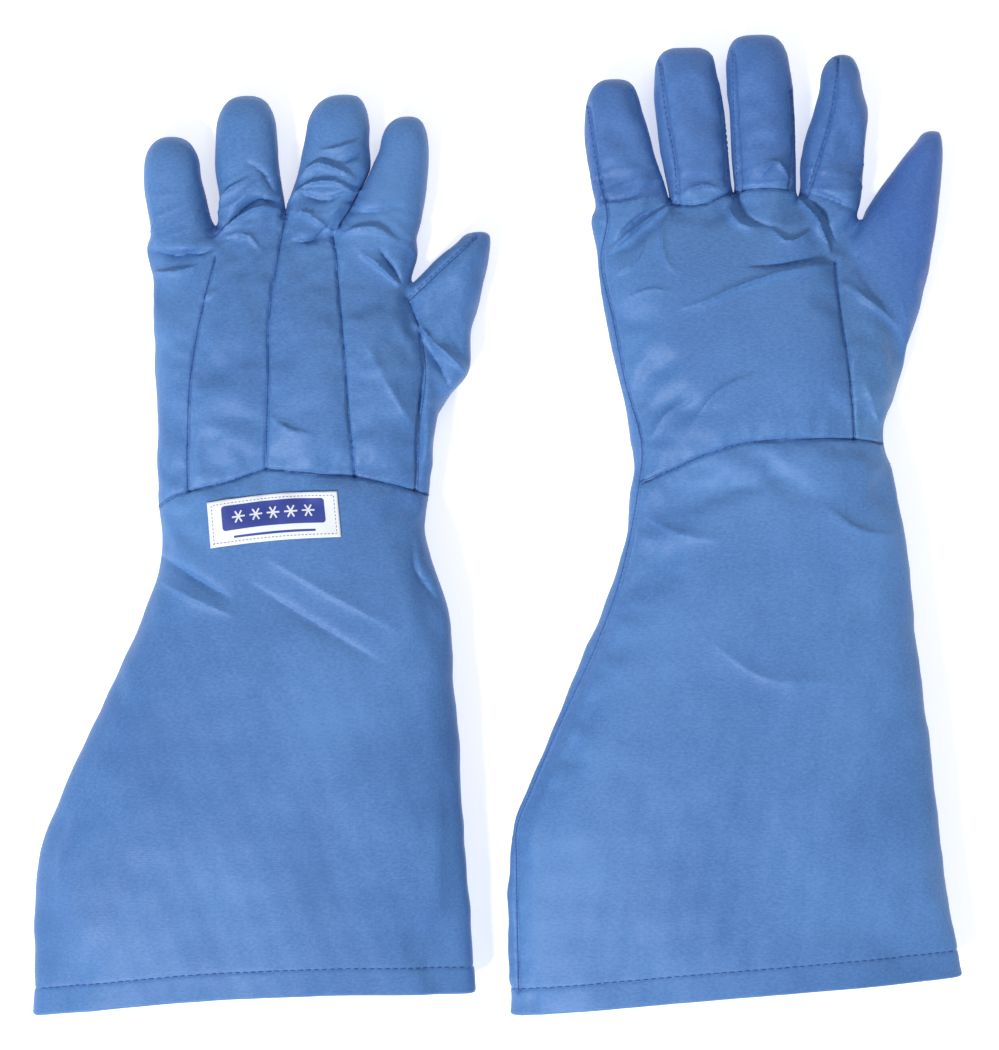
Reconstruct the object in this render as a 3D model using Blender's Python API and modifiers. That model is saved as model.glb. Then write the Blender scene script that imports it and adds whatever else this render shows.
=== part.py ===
"""A pair of elbow-length cryogenic gloves, laid flat: the left glove back up, the right glove palm up.

Each glove is a flared gauntlet cuff, a hand and five digits, in layers: sewn outer panels over a
padded liner. The fabric bends at the wrist and at the root of each digit, so each of those
places is a hinge, and the layers stop either side of it with a V of free space between them.
Built in millimetres through the MM factor, with +Y to the fingertips, +X to the thumbs, +Z up.
"""

import math

import bmesh
import bpy
from mathutils import Matrix, Vector

MM = 0.001

# Walls, from the outside in.
SHELL_WALL = 1.0
LINER_WALL = 5.0
LINING_WALL = 0.8
LAYER_GAP = 0.35
SEAM_GAP = 0.7
LINER_GAP = 1.1

# Free travel that the V gaps at the hinges leave, in degrees.
DIGIT_CURL = 80.0
DIGIT_ARCH = 16.0
WRIST_FLEX = 42.0
WRIST_ARCH = 32.0
HINGE_GAP = 0.5

# The wrist hinge lies this far towards the fingers from each glove's reference point.
WRIST_AT = 11.0

# The underside is pressed flat by this much where the glove lies.
PRESSED = 1.2

# The hand, from the wrist to the finger roots: distance, inner edge, outer edge, half thickness.
HAND_STATIONS = [
    (0, -67, 67, 19.0),
    (30, -67, 73, 20.0),
    (62, -69, 88, 20.5),
    (80, -70, 91, 19.5),
    (97, -71, 66, 18.5),
    (128, -71, 69, 15.0),
    (150, -71, 69, 14.5),
]
# Where the seams between the four back panels meet the wrist and the finger forks.
BACK_SEAMS_AT_WRIST = [-53, -12, 33]
BACK_SEAMS_AT_FORKS = [-35, 1, 35]
GUSSET_TOP = 82.0  # from here up the palm panel turns round the index side to the back

# The gauntlets, from the wrist to the hem: distance, inner edge, outer edge, half thickness.
LEFT_CUFF_STATIONS = [
    (0, -67, 69, 19.0),
    (36, -69, 75, 19.5),
    (57, -76, 81, 20.0),
    (119, -103, 86, 21.5),
    (181, -130, 91, 22.0),
    (202, -132, 92, 21.5),
    (259, -133, 95, 20.0),
]
RIGHT_CUFF_STATIONS = [
    (0, -66, 68, 19.0),
    (34, -68, 74, 19.5),
    (66, -78, 78, 20.0),
    (128, -104, 85, 21.5),
    (190, -128, 93, 22.0),
    (211, -130, 95, 21.5),
    (273, -131, 105, 20.0),
]
HEM_DEPTH = 11.0

# Digit name, root centre, root half width, widest half width, half thickness.
DIGITS = {
    "thumb": ((71, 76), 16.5, 17.5, 13.0),
    "index": ((52, 130), 14.5, 15.5, 13.0),
    "middle": ((18, 139), 15.0, 17.0, 13.5),
    "ring": ((-17, 137), 15.0, 17.0, 13.5),
    "little": ((-53, 130), 15.0, 16.5, 13.0),
}
FINGERS = ["little", "ring", "middle", "index"]
DIGIT_TIP = {"thumb": 2.6, "index": 4.6, "middle": 4.6, "ring": 4.6, "little": 4.6}

LABEL_SIZE = (68.0, 24.0)
LABEL_AT = (-8.0, -13.0)
LABEL_TURN = 6.0
LABEL_THICK = 0.6
LABEL_STANDS = LABEL_THICK + 0.9

# How each glove lies. Turn is anticlockwise; a digit has its direction, clockwise from +Y, and length.
GLOVES = {
    "left": {
        "wrist": (-107.3, 11.9),
        "turn": 2.0,
        "back_up": True,
        "raised": 0.0,
        "cuff": LEFT_CUFF_STATIONS,
        "hem_slope": -10.0,
        "digits": {
            "thumb": (28.0, 72.0),
            "index": (13.0, 71.0),
            "middle": (13.0, 73.5),
            "ring": (-1.0, 73.0),
            "little": (-7.5, 63.0),
        },
    },
    "right": {
        "wrist": (136.7, 30.9),
        "turn": 6.0,
        "back_up": False,
        "raised": LABEL_STANDS,
        "cuff": RIGHT_CUFF_STATIONS,
        "hem_slope": -17.0,
        "digits": {
            "thumb": (21.5, 93.0),
            "index": (3.0, 79.0),
            "middle": (-4.0, 83.0),
            "ring": (-5.0, 83.0),
            "little": (-8.5, 79.0),
        },
    },
}

# How far the columns of a flat section crowd to its sides, in degrees.
SIDE_SPREAD = 17.0

COLOURS = {
    "shell": ((0.10, 0.27, 0.62, 1), 0.62),
    "liner": ((0.80, 0.82, 0.84, 1), 0.95),
    "lining": ((0.06, 0.13, 0.32, 1), 0.85),
    "label": ((0.86, 0.88, 0.92, 1), 0.7),
}


def clear_scene():
    for obj in list(bpy.data.objects):
        bpy.data.objects.remove(obj)


def material(name):
    found = bpy.data.materials.get(name)
    if found:
        return found
    colour, roughness = COLOURS[name]
    made = bpy.data.materials.new(name)
    made.use_nodes = True
    shader = made.node_tree.nodes["Principled BSDF"]
    shader.inputs["Base Color"].default_value = colour
    shader.inputs["Roughness"].default_value = roughness
    shader.inputs["Metallic"].default_value = 0.0
    return made


def between(stations, at):
    """Every column of the stations, read at a distance along them."""
    last = stations[0]
    for station in stations[1:]:
        if at <= station[0]:
            share = max(0.0, (at - last[0]) / (station[0] - last[0]))
            return [a + (b - a) * share for a, b in zip(last[1:], station[1:])]
        last = station
    return list(last[1:])


def lerp(a, b, share):
    return a + (b - a) * share


class Flat:
    """A flattened tube: an oval section, a little squarer than an ellipse, between two edges."""

    SQUARENESS = 2.5
    SIDE_INSET = 1.5  # an inner layer turns more tightly at the sides than its inset alone

    def __init__(self, stations, sign):
        self.stations = stations
        self.sign = sign

    def section(self, along):
        inner, outer, half = between(self.stations, along)
        return (inner + outer) / 2, (outer - inner) / 2, half

    def angle_of(self, x, along, inset):
        """The angle round the section, in degrees from the back's middle towards the thumb."""
        centre, across, _ = self.section(along)
        share = max(-1.0, min(1.0, (x - centre) / (across - inset)))
        return math.degrees(math.asin(math.copysign(abs(share) ** (self.SQUARENESS / 2), share)))

    def point(self, along, angle, inset):
        """x and y in the glove's plan, the height over the middle, and the middle's own height."""
        centre, across, half = self.section(along)
        sine, cosine = math.sin(math.radians(angle)), math.cos(math.radians(angle))
        power = 2 / self.SQUARENESS
        x = centre + (across - inset * self.SIDE_INSET) * math.copysign(abs(sine) ** power, sine)
        up = (half - inset) * math.copysign(abs(cosine) ** power, cosine)
        return x, along * self.sign, up, half


def new_object(name, bm, finish, collection):
    mesh = bpy.data.meshes.new(name)
    bm.to_mesh(mesh)
    bm.free()
    mesh.shade_smooth()
    obj = bpy.data.objects.new(name, mesh)
    obj.data.materials.append(material(finish))
    collection.objects.link(obj)
    return obj


def spread(turn):
    """An angle round a flat section from an even turn, so that its tight sides get more columns."""
    return turn + SIDE_SPREAD * math.sin(math.radians(2 * turn))


def unspread(angle):
    turn = angle
    for _ in range(30):
        turn -= 0.6 * (spread(turn) - angle)
    return turn


def grid_shell(name, columns, rows, place, wall, finish, collection, wrap=False, flip=False):
    """An open grid laid out by place(u, v), both from 0 to 1, given its wall by Solidify."""
    bm = bmesh.new()
    bmesh.ops.create_grid(bm, x_segments=columns, y_segments=rows, size=0.5)
    for vert in bm.verts:
        vert.co = place(vert.co.x + 0.5, vert.co.y + 0.5) * MM
    bmesh.ops.remove_doubles(bm, verts=bm.verts, dist=0.02 * MM)
    if flip:
        bmesh.ops.reverse_faces(bm, faces=bm.faces)
    if wrap and any(not edge.is_manifold and not edge.is_boundary for edge in bm.edges):
        raise ValueError(f"{name} doesn't wrap cleanly")
    obj = new_object(name, bm, finish, collection)
    thicken = obj.modifiers.new("wall", "SOLIDIFY")
    thicken.thickness = wall * MM
    thicken.offset = -1
    thicken.use_even_offset = wrap
    return obj


def glove_point(glove, x, y, back, middle_height, turned, inset=0.0):
    """A point of the glove's own plan, on its back (+) or palm (-) side, in the shared frame."""
    turn = math.radians(glove["turn"] if turned else 0.0)
    wx, wy = glove["wrist"]
    up = back if glove["back_up"] else -back
    return Vector((
        wx + x * math.cos(turn) - y * math.sin(turn),
        wy + x * math.sin(turn) + y * math.cos(turn),
        glove["raised"] + max(inset, middle_height + up - PRESSED),
    ))


def hand_surface(glove):
    return Flat(HAND_STATIONS, 1)


def cuff_surface(glove):
    return Flat(glove["cuff"], -1)


def digit_axis(glove, name):
    """The root of a digit in the hand's plan, and its direction there, from +Y towards +X."""
    direction, length = glove["digits"][name]
    return Vector(DIGITS[name][0]), math.radians(direction + glove["turn"]), length


def finger_root_line(glove):
    """The ends of each finger's hinge, in order across the hand."""
    line = []
    for name in FINGERS:
        root, direction, _ = digit_axis(glove, name)
        side = Vector((math.cos(direction), -math.sin(direction))) * DIGITS[name][1]
        line += [root - side, root + side]
    return line


def root_line_y(line, x):
    if x <= line[0].x:
        return line[0].y
    for a, b in zip(line, line[1:]):
        if x <= b.x:
            return lerp(a.y, b.y, (x - a.x) / max(b.x - a.x, 1e-6))
    return line[-1].y


def v_gap(height, palm_degrees, back_degrees):
    """How far a layer stops short of the hinge, at a height above (back) or below (palm) it."""
    degrees = back_degrees if height > 0 else palm_degrees
    return HINGE_GAP + abs(height) * math.tan(math.radians(degrees / 2))


def hand_place(glove, inset, angle_at, stop_at=None):
    """Maps u round the hand and v from the wrist to the finger roots, or to stop_at."""
    surface, line = hand_surface(glove), finger_root_line(glove)
    reach = 134.0

    def place(u, v):
        angle = angle_at(u, 0.0)
        _, _, up, _ = surface.point(0, angle, inset)
        low = WRIST_AT + v_gap(up, WRIST_FLEX, WRIST_ARCH)
        angle = angle_at(u, 1.0)
        x, _, up, _ = surface.point(reach, angle, inset)
        high = stop_at or root_line_y(line, x) - v_gap(up, DIGIT_CURL, DIGIT_ARCH)
        along = lerp(low, high, v)
        x, y, up, middle = surface.point(along, angle_at(u, along / reach), inset)
        return glove_point(glove, x, y, up, middle, True, inset)

    return place


def seam_angle(surface, index, share, side):
    """The angle either side of a back seam, from the wrist (share 0) to the forks (share 1)."""
    share = min(1.0, share)
    x = lerp(BACK_SEAMS_AT_WRIST[index], BACK_SEAMS_AT_FORKS[index], share)
    return surface.angle_of(x + side * SEAM_GAP / 2, share * 134.0, 0.0)


def glove_frame(glove):
    """The frame of the hand's plan, where X crosses it to the thumb side and Y runs to the fingers."""
    at = Vector((*glove["wrist"], 0.0)) * MM
    return Matrix.Translation(at) @ Matrix.Rotation(math.radians(glove["turn"]), 4, "Z")


def wrist_hinge(glove):
    """A point on the wrist's hinge axis, which crosses the hand at mid height."""
    return glove_point(glove, 0.0, WRIST_AT, 0.0, HAND_STATIONS[0][3], True) * MM


def prism(name, outline, low, high, frame, helpers, side_on=False):
    """A cutter: an outline drawn out from low to high, up Z, or along X where it's drawn side on."""
    bm = bmesh.new()
    ends = []
    for level in (low, high):
        points = [(level, *point) if side_on else (*point, level) for point in outline]
        ends.append([bm.verts.new(Vector(point) * MM) for point in points])
    for ring in ends:
        bm.faces.new(ring)
    for index in range(len(outline)):
        after = (index + 1) % len(outline)
        bm.faces.new([ends[0][index], ends[0][after], ends[1][after], ends[1][index]])
    bmesh.ops.recalc_face_normals(bm, faces=bm.faces)
    cutter = new_object(name, bm, "shell", helpers)
    cutter.matrix_world = frame
    cutter.hide_render = True
    cutter.display_type = "WIRE"
    return cutter


def cut_away(target, cutter, name):
    cut = target.modifiers.new(name, "BOOLEAN")
    cut.object = cutter
    cut.operation = "DIFFERENCE"


def make_hand(side, glove, collection, helpers):
    surface = hand_surface(glove)
    flip = not glove["back_up"]
    gap, side_gap = 0.6, 1.3  # degrees, on the face of the section and at its tight sides
    thumb_seam, palm_seam = 62.0, 118.0  # where the thumb gusset starts and ends round the section

    seams = [(lambda s, g: -90.0 + side_gap * g)]
    for index in range(3):
        seams.append(lambda s, g, i=index: seam_angle(surface, i, s, g))
    seams.append(lambda s, g: thumb_seam + gap * g)
    panels = []
    for finger, low, high in zip(FINGERS, seams, seams[1:]):
        def angle_at(u, share, low=low, high=high):
            return spread(lerp(unspread(low(share, 1)), unspread(high(share, -1)), u))

        panels.append(grid_shell(f"{side}_back_panel_{finger}", 4, 8,
                                 hand_place(glove, 0.0, angle_at), SHELL_WALL, "shell",
                                 collection, flip=flip))
    panels = panels[-1:]

    def palm_angle(u, share):
        """The palm panel turns up round the index side to the back panel."""
        return spread(lerp(unspread(thumb_seam + 3 * gap), unspread(270.0 - side_gap), u))

    palm = grid_shell(f"{side}_palm_panel", 16, 9, hand_place(glove, 0.0, palm_angle),
                      SHELL_WALL, "shell", collection, flip=flip)
    panels.append(palm)
    window = [(130.0, GUSSET_TOP), (130.0, -20.0)]
    for along in (-20.0, 0.0, 30.0, 62.0, GUSSET_TOP):
        centre, across, _ = surface.section(along)
        power = 2 / surface.SQUARENESS
        edge = centre + across * math.sin(math.radians(palm_seam + 3 * gap)) ** power
        window.append((edge, along))
    frame = glove_frame(glove)
    cutter = prism(f"{side}_gusset_window_cutter", window, -30.0, 60.0, frame, helpers)
    cut_away(palm, cutter, "gusset window")

    def gusset_angle(u, share):
        return spread(lerp(unspread(thumb_seam + gap), unspread(palm_seam - gap), u))

    gusset = grid_shell(f"{side}_thumb_gusset", 6, 8,
                        hand_place(glove, 0.0, gusset_angle, GUSSET_TOP - 1.0),
                        SHELL_WALL, "shell", collection, flip=flip)

    liner = grid_shell(f"{side}_hand_liner", 28, 9,
                       hand_place(glove, SHELL_WALL + LINER_GAP, lambda u, share: spread(360 * u)),
                       LINER_WALL, "liner", collection, wrap=True, flip=flip)
    return panels + [gusset, liner]


def digit_matrix(side, glove, name):
    """The digit's own frame: X across it towards the thumb side, Y along it, Z to its upper side."""
    root, _, _ = digit_axis(glove, name)
    half = DIGITS[name][3]
    at = glove_point(glove, root.x, root.y, 0.0, half + PRESSED + 0.8, True)
    return Matrix.Translation(at * MM) @ Matrix.Rotation(-math.radians(glove["digits"][name][0]), 4, "Z")


def digit_place(glove, name, inset, angle_low, angle_high, shift=0.0):
    """Maps u round the digit and v from its root to its tip."""
    _, root_half, wide_half, thick_half = DIGITS[name]
    length = glove["digits"][name][1]
    up_sign = 1 if glove["back_up"] else -1

    def place(u, v):
        angle = math.radians(lerp(angle_low, angle_high, u))
        full = length - inset
        share = 1 - (1 - v) ** 1.8
        taper = max(0.0, 1 - share ** DIGIT_TIP[name]) ** 0.5
        wide = (lerp(root_half, wide_half, min(1.0, share * 2.5)) - inset) * taper
        thick = (thick_half - inset) * taper
        across, up = wide * math.sin(angle), thick * math.cos(angle)
        start = v_gap(up, DIGIT_CURL, DIGIT_ARCH)
        along = lerp(start, full, share)
        return Vector((across, along, (up + shift) * up_sign))

    return place


def make_digit(side, glove, name, collection):
    flip = not glove["back_up"]
    frame = digit_matrix(side, glove, name)
    inset = SHELL_WALL + LAYER_GAP
    parts = [
        ("back_panel", "shell", 7, 6, digit_place(glove, name, 0.0, -90, 90, 0.8), SHELL_WALL),
        ("front_panel", "shell", 7, 6, digit_place(glove, name, 0.0, 90, 270, -0.8), SHELL_WALL),
        ("liner", "liner", 12, 5, digit_place(glove, name, inset + 0.6, 0, 360), LINER_WALL - 0.5),
    ]
    for part, finish, columns, rows, place, wall in parts:
        obj = grid_shell(f"{side}_{name}_{part}", columns, rows, place, wall, finish, collection,
                         wrap=part == "liner", flip=flip)
        obj.matrix_world = frame


def cuff_place(glove, inset, start, end):
    """Maps u round the gauntlet and v from start to end; the end slopes across as the hem does."""
    surface = cuff_surface(glove)
    length = glove["cuff"][-1][0]

    def place(u, v):
        angle = spread(360 * u)
        x, _, up, _ = surface.point(length, angle, inset)
        slope = glove["hem_slope"] * x / 200
        low = start + slope * start / length
        if start == 0:
            x, _, up, _ = surface.point(0, angle, inset)
            turned = x * math.tan(math.radians(glove["turn"]))
            low = v_gap(up, WRIST_FLEX, WRIST_ARCH) - WRIST_AT - turned
        along = lerp(low, end + slope * end / length, v)
        x, y, up, middle = surface.point(along, angle, inset)
        return glove_point(glove, x, y, up, middle, False, inset)

    return place


def make_cuff(side, glove, collection):
    flip = glove["back_up"]
    length = glove["cuff"][-1][0]
    seam = length - HEM_DEPTH
    insulation_inset = SHELL_WALL + LAYER_GAP
    lining_inset = insulation_inset + LINER_WALL + LINER_GAP
    layers = [
        ("cuff_shell", "shell", 0.0, 0.0, seam, SHELL_WALL, 5),
        ("cuff_insulation", "liner", insulation_inset, 0.0, seam, LINER_WALL, 5),
        ("cuff_lining", "lining", lining_inset, 0.0, seam, LINING_WALL, 5),
        ("hem_band", "shell", 0.0, seam + SEAM_GAP, length, lining_inset + LINING_WALL, 1),
    ]
    for part, finish, inset, start, end, wall, rows in layers:
        grid_shell(f"{side}_{part}", 24, rows, cuff_place(glove, inset, start, end),
                   wall, finish, collection, wrap=True, flip=flip)


def make_label(side, glove, collection):
    """A woven label that follows the back of the gauntlet, just below the wrist."""
    surface = cuff_surface(glove)
    turn = math.radians(LABEL_TURN if glove["back_up"] else -LABEL_TURN)
    def place(u, v):
        across, down = (u - 0.5) * LABEL_SIZE[0], (v - 0.5) * LABEL_SIZE[1]
        x = LABEL_AT[0] + across * math.cos(turn) - down * math.sin(turn)
        y = LABEL_AT[1] + across * math.sin(turn) + down * math.cos(turn)
        angle = surface.angle_of(x, max(0.0, -y), 0.0)
        _, _, up, middle = surface.point(max(0.0, -y), angle, 0.0)
        at = glove_point(glove, x, y, up, middle, False)
        at.z += LABEL_STANDS if glove["back_up"] else -LABEL_STANDS
        return at

    grid_shell(f"{side}_label", 10, 3, place, LABEL_THICK, "label", collection,
               flip=not glove["back_up"])


def set_origin(obj, at):
    """Moves an object's origin to a point on its joint axis, and leaves its shape where it is."""
    obj.data.transform(Matrix.Translation(obj.matrix_world.translation - at))
    obj.location = at


def make_forks(side, glove, collection):
    """The strips of side wall that turn round each fork between two fingers."""
    line = finger_root_line(glove)
    behind, radius, height = 12.5, 5.0, 5.8
    for index, (a, b) in enumerate(zip(FINGERS, FINGERS[1:])):
        fork = (line[2 * index + 1] + line[2 * index + 2]) / 2
        half = between(HAND_STATIONS, fork.y)[2]

        def place(u, v, fork=fork, half=half):
            turn = math.pi * (u - 0.5)
            x = fork.x + radius * math.sin(turn)
            y = fork.y - behind - radius * math.cos(turn) * 0.6
            return glove_point(glove, x, y, lerp(-height, height, v), half + PRESSED / 2, True)

        grid_shell(f"{side}_fork_{a}_{b}", 6, 2, place, SHELL_WALL, "shell", collection)


def cut_thumb_hole(side, glove, targets, helpers):
    """Opens the hand's thumb side from the thumb's hinge outwards, with the V the thumb needs."""
    half, tall, reach = DIGITS["thumb"][1], 24.0, 70.0
    up_sign = 1 if glove["back_up"] else -1
    outline = [(reach, -tall * up_sign), (reach, tall * up_sign)]
    for up in (tall, 0.0, -tall):
        outline.append((-v_gap(up, DIGIT_CURL, DIGIT_ARCH), up * up_sign))
    cutter = prism(f"{side}_thumb_hole_cutter", outline, -half - 0.7, half + 12.0,
                   digit_matrix(side, glove, "thumb"), helpers, side_on=True)
    for target in targets:
        cut_away(target, cutter, "thumb hole")


def main():
    clear_scene()
    collection = bpy.data.collections.new("cryogenic_gloves")
    helpers = bpy.data.collections.new("cutters")
    for made in (collection, helpers):
        bpy.context.scene.collection.children.link(made)
    for side, glove in GLOVES.items():
        targets = make_hand(side, glove, collection, helpers)
        for name in DIGITS:
            make_digit(side, glove, name, collection)
        make_forks(side, glove, collection)
        make_cuff(side, glove, collection)
        make_label(side, glove, collection)
        cut_thumb_hole(side, glove, targets, helpers)
        for obj in collection.objects:
            if obj.name.startswith((f"{side}_back", f"{side}_palm", f"{side}_hand", f"{side}_thumb_gusset",
                                    f"{side}_fork")):
                set_origin(obj, wrist_hinge(glove))


main()
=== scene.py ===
# The looks of a pair of padded cryogenic gloves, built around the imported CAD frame.
# Shapes are worked out in millimetres from each glove's wrist point (x across, y towards
# the fingertips, z up) and turned into metres in the shared frame at the very end.
import math

import bpy
import numpy as np
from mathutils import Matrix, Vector
from mathutils.bvhtree import BVHTree
from mathutils.kdtree import KDTree


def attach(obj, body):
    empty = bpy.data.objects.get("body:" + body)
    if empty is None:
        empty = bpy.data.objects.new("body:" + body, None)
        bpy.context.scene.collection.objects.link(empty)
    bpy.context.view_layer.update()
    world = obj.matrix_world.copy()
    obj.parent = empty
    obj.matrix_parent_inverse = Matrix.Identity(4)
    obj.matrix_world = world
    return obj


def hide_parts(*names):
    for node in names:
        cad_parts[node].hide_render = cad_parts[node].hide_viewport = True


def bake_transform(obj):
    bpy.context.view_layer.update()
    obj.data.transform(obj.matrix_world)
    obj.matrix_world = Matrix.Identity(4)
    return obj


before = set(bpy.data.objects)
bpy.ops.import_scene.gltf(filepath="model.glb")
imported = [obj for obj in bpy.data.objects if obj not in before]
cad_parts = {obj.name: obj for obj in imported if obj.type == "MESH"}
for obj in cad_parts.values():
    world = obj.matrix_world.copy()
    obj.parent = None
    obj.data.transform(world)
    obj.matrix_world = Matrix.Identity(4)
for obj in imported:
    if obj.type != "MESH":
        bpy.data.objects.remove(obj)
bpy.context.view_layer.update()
scene = bpy.context.scene
mm = 0.001
sideSeam = 12.8  # height of the line that parts the upper face from the under one

# sizes of the two gloves

padding = {
    "pressed": 1.2,          # how far the underside is pressed flat
    "voxel": 1.4,            # grain of the finished fabric mesh
    "thin": 0.84,            # fingers are this much narrower while the pieces are joined
    "digitShape": 2.3,       # superellipse power of a digit's cross-section
    "bodyShape": 2.4,        # and of the hand and the cuff
    "past": 24.0,            # length of sleeve beyond the hem, cut away later
}

# Outlines are (height, left edge, right edge), with the half thickness last on a body.
# A digit also has its tip, the width of its flat tip, and its half thickness.
gloves = {
    "left": {
        "wrist": (-107.3, 11.9), "backUp": True, "raised": 0.0,
        "sleeve": 259.0, "hemSlope": -10.0, "hemBow": (6.2, -19, 114),
        "body": [
            (-300, -134.5, 98, 20), (-259, -134.5, 96, 20), (-202, -133.5, 93.5, 21.5),
            (-181, -131.8, 92.5, 22), (-150, -119, 89.5, 22), (-119, -105, 87.5, 21.5),
            (-88, -91, 86, 21), (-57, -77, 83, 20),
            (-36, -69.8, 76.5, 19.5), (-15, -68, 70, 19), (0, -69, 71.2, 19), (16, -70, 74, 19),
            (37, -69.5, 76, 19.5), (58, -71, 78, 19.5), (80, -72, 74, 18.5), (100, -72.5, 62, 17),
            (120, -72.8, 61, 15), (134, -73.5, 63, 13.5), (145, -71.5, 60, 12),
        ],
        "digits": {
            "thumb": {"tip": (99, 140.8), "flat": 7, "half": 13, "edges": [
                (40, 48, 73), (46, 50, 77), (52, 52, 81), (58, 54, 86), (64, 56, 91), (68, 57, 93),
                (79, 58, 93.5), (89, 59, 94.2), (99, 60, 97), (110, 60.5, 99.6), (120, 69.5, 101.8),
                (130, 79.5, 103.5), (136, 87.5, 104)]},
            "index": {"tip": (61.5, 201), "flat": 6, "half": 13, "edges": [
                (96, 28, 58), (110, 24, 59), (120, 22, 61), (131, 22.5, 64), (141, 24.5, 67), (152, 29.5, 69),
                (162, 34.7, 70), (172, 40.6, 71), (183, 46.2, 71.6)]},
            "middle": {"tip": (28.3, 212.3), "flat": 9, "half": 13.5, "edges": [
                (100, -5, 26), (125, -5, 24), (139, -5, 23.5), (152, -3.2, 31), (162, -0.2, 36.5),
                (172, 3.5, 41), (183, 5.6, 41), (191, 7.2, 40.7)]},
            "ring": {"tip": (-23.3, 211.5), "flat": 9, "half": 13.5, "edges": [
                (100, -43, -8), (128, -42, -5), (141, -40, -4), (152, -38.3, -3.5), (162, -38.8, -4.8),
                (172, -40, -6.4), (183, -40, -7), (193, -39.5, -8.3)]},
            "little": {"tip": (-63.5, 190.3), "flat": 5, "half": 13, "edges": [
                (96, -71, -44), (120, -72.8, -41), (141, -74.4, -40), (151, -75.6, -43), (162, -77.5, -45.8),
                (172, -78, -48)]},
        },
        # where each digit starts to bend: a point, the direction across that line, the bend's length
        "curls": {
            "thumb": ((77, 85.5), 55, 28), "index": ((45, 136), 13, 26), "middle": ((14, 149.6), 13, 26),
            "ring": ((-21, 148.3), -15.8, 26), "little": ((-58, 141.1), -7.5, 24),
        },
        "webs": [(-40, 128, 9, 12), (-3.5, 140, 9, 12), (23, 126, 9, 12), (58, 95, 8, 10)],
    },
    "right": {
        "wrist": (136.7, 30.9), "backUp": False, "raised": 1.5,
        "sleeve": 273.0, "hemSlope": -17.0, "hemBow": (1.8, -12, 118),
        "body": [
            (-312, -131, 114, 20), (-273, -131, 107.2, 20), (-211, -130, 96.4, 21.5),
            (-190, -128.5, 94.2, 22), (-160, -117.8, 89.6, 22), (-128, -104.5, 86, 21.5),
            (-97, -91, 82.5, 21), (-66, -79, 78.5, 20),
            (-34, -69.5, 75, 19.5), (-13, -67.5, 71.5, 19), (-2, -65.5, 69, 19), (8, -67, 64.7, 19),
            (18, -68.4, 63.7, 19), (28, -70, 66.5, 19), (39, -72.5, 69, 19.5), (60, -77.5, 70, 19.5),
            (80, -81.3, 68, 18.5), (101, -84.5, 58, 17), (116, -85, 50, 15.5), (128, -85, 49, 14),
            (139, -83.5, 47, 12),
        ],
        "digits": {
            "thumb": {"tip": (91.5, 173.8), "flat": 6, "half": 13, "edges": [
                (20, 38, 61), (28, 38, 66.5), (39, 38, 70.5), (49, 38, 74), (60, 39, 76.5), (70, 40, 80),
                (80, 41, 83.5), (91, 42, 86.3), (101, 42, 88.5), (111, 42.9, 90.2), (122, 48, 91.9),
                (132, 54.5, 93), (143, 62, 94), (153, 69.5, 94.8), (162, 76.5, 95.2), (169, 82.5, 95)]},
            "index": {"tip": (43, 214), "flat": 4, "half": 13, "edges": [
                (96, 20, 44), (116, 20, 45), (130, 20, 50.5), (143, 21, 53.3), (153, 20.5, 53.9),
                (164, 21.8, 54.2), (174, 24.7, 55.2), (184, 28, 55.8), (194, 31, 53.6)]},
            "middle": {"tip": (-2.5, 223.8), "flat": 14, "half": 13.5, "edges": [
                (100, -11, 20), (128, -12, 19), (143, -13, 19), (153, -14.3, 19), (164, -15.2, 18.8),
                (174, -15.8, 18.6), (184, -16.4, 18), (195, -17.9, 17), (207, -18.2, 14.8)]},
            "ring": {"tip": (-38, 217), "flat": 17, "half": 13.5, "edges": [
                (100, -46, -14), (130, -47, -14), (143, -48.1, -14.2), (153, -50.2, -15.4),
                (164, -52.3, -16.2), (174, -53.8, -17.2), (184, -54.3, -18), (195, -55.5, -20),
                (205, -55, -22.6)]},
            "little": {"tip": (-75.3, 201.2), "flat": 7, "half": 13, "edges": [
                (96, -83, -48), (122, -85.2, -47), (137, -86, -46.5), (143, -87.2, -48.6),
                (153, -89.3, -52.3), (164, -90.8, -55.4), (174, -91.5, -58), (184, -91, -61.1)]},
        },
        "curls": {
            "thumb": ((61.5, 87.8), 61, 30), "index": ((37, 142.2), 3, 27), "middle": ((3, 145.7), -4, 27),
            "ring": ((-30, 142), -8.7, 27), "little": ((-67, 136.4), -8.5, 27),
        },
        "webs": [(-46.5, 126, 9, 12), (-13.5, 130, 9, 12), (21, 128, 9, 12), (43, 104, 8, 11)],
    },
}

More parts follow.
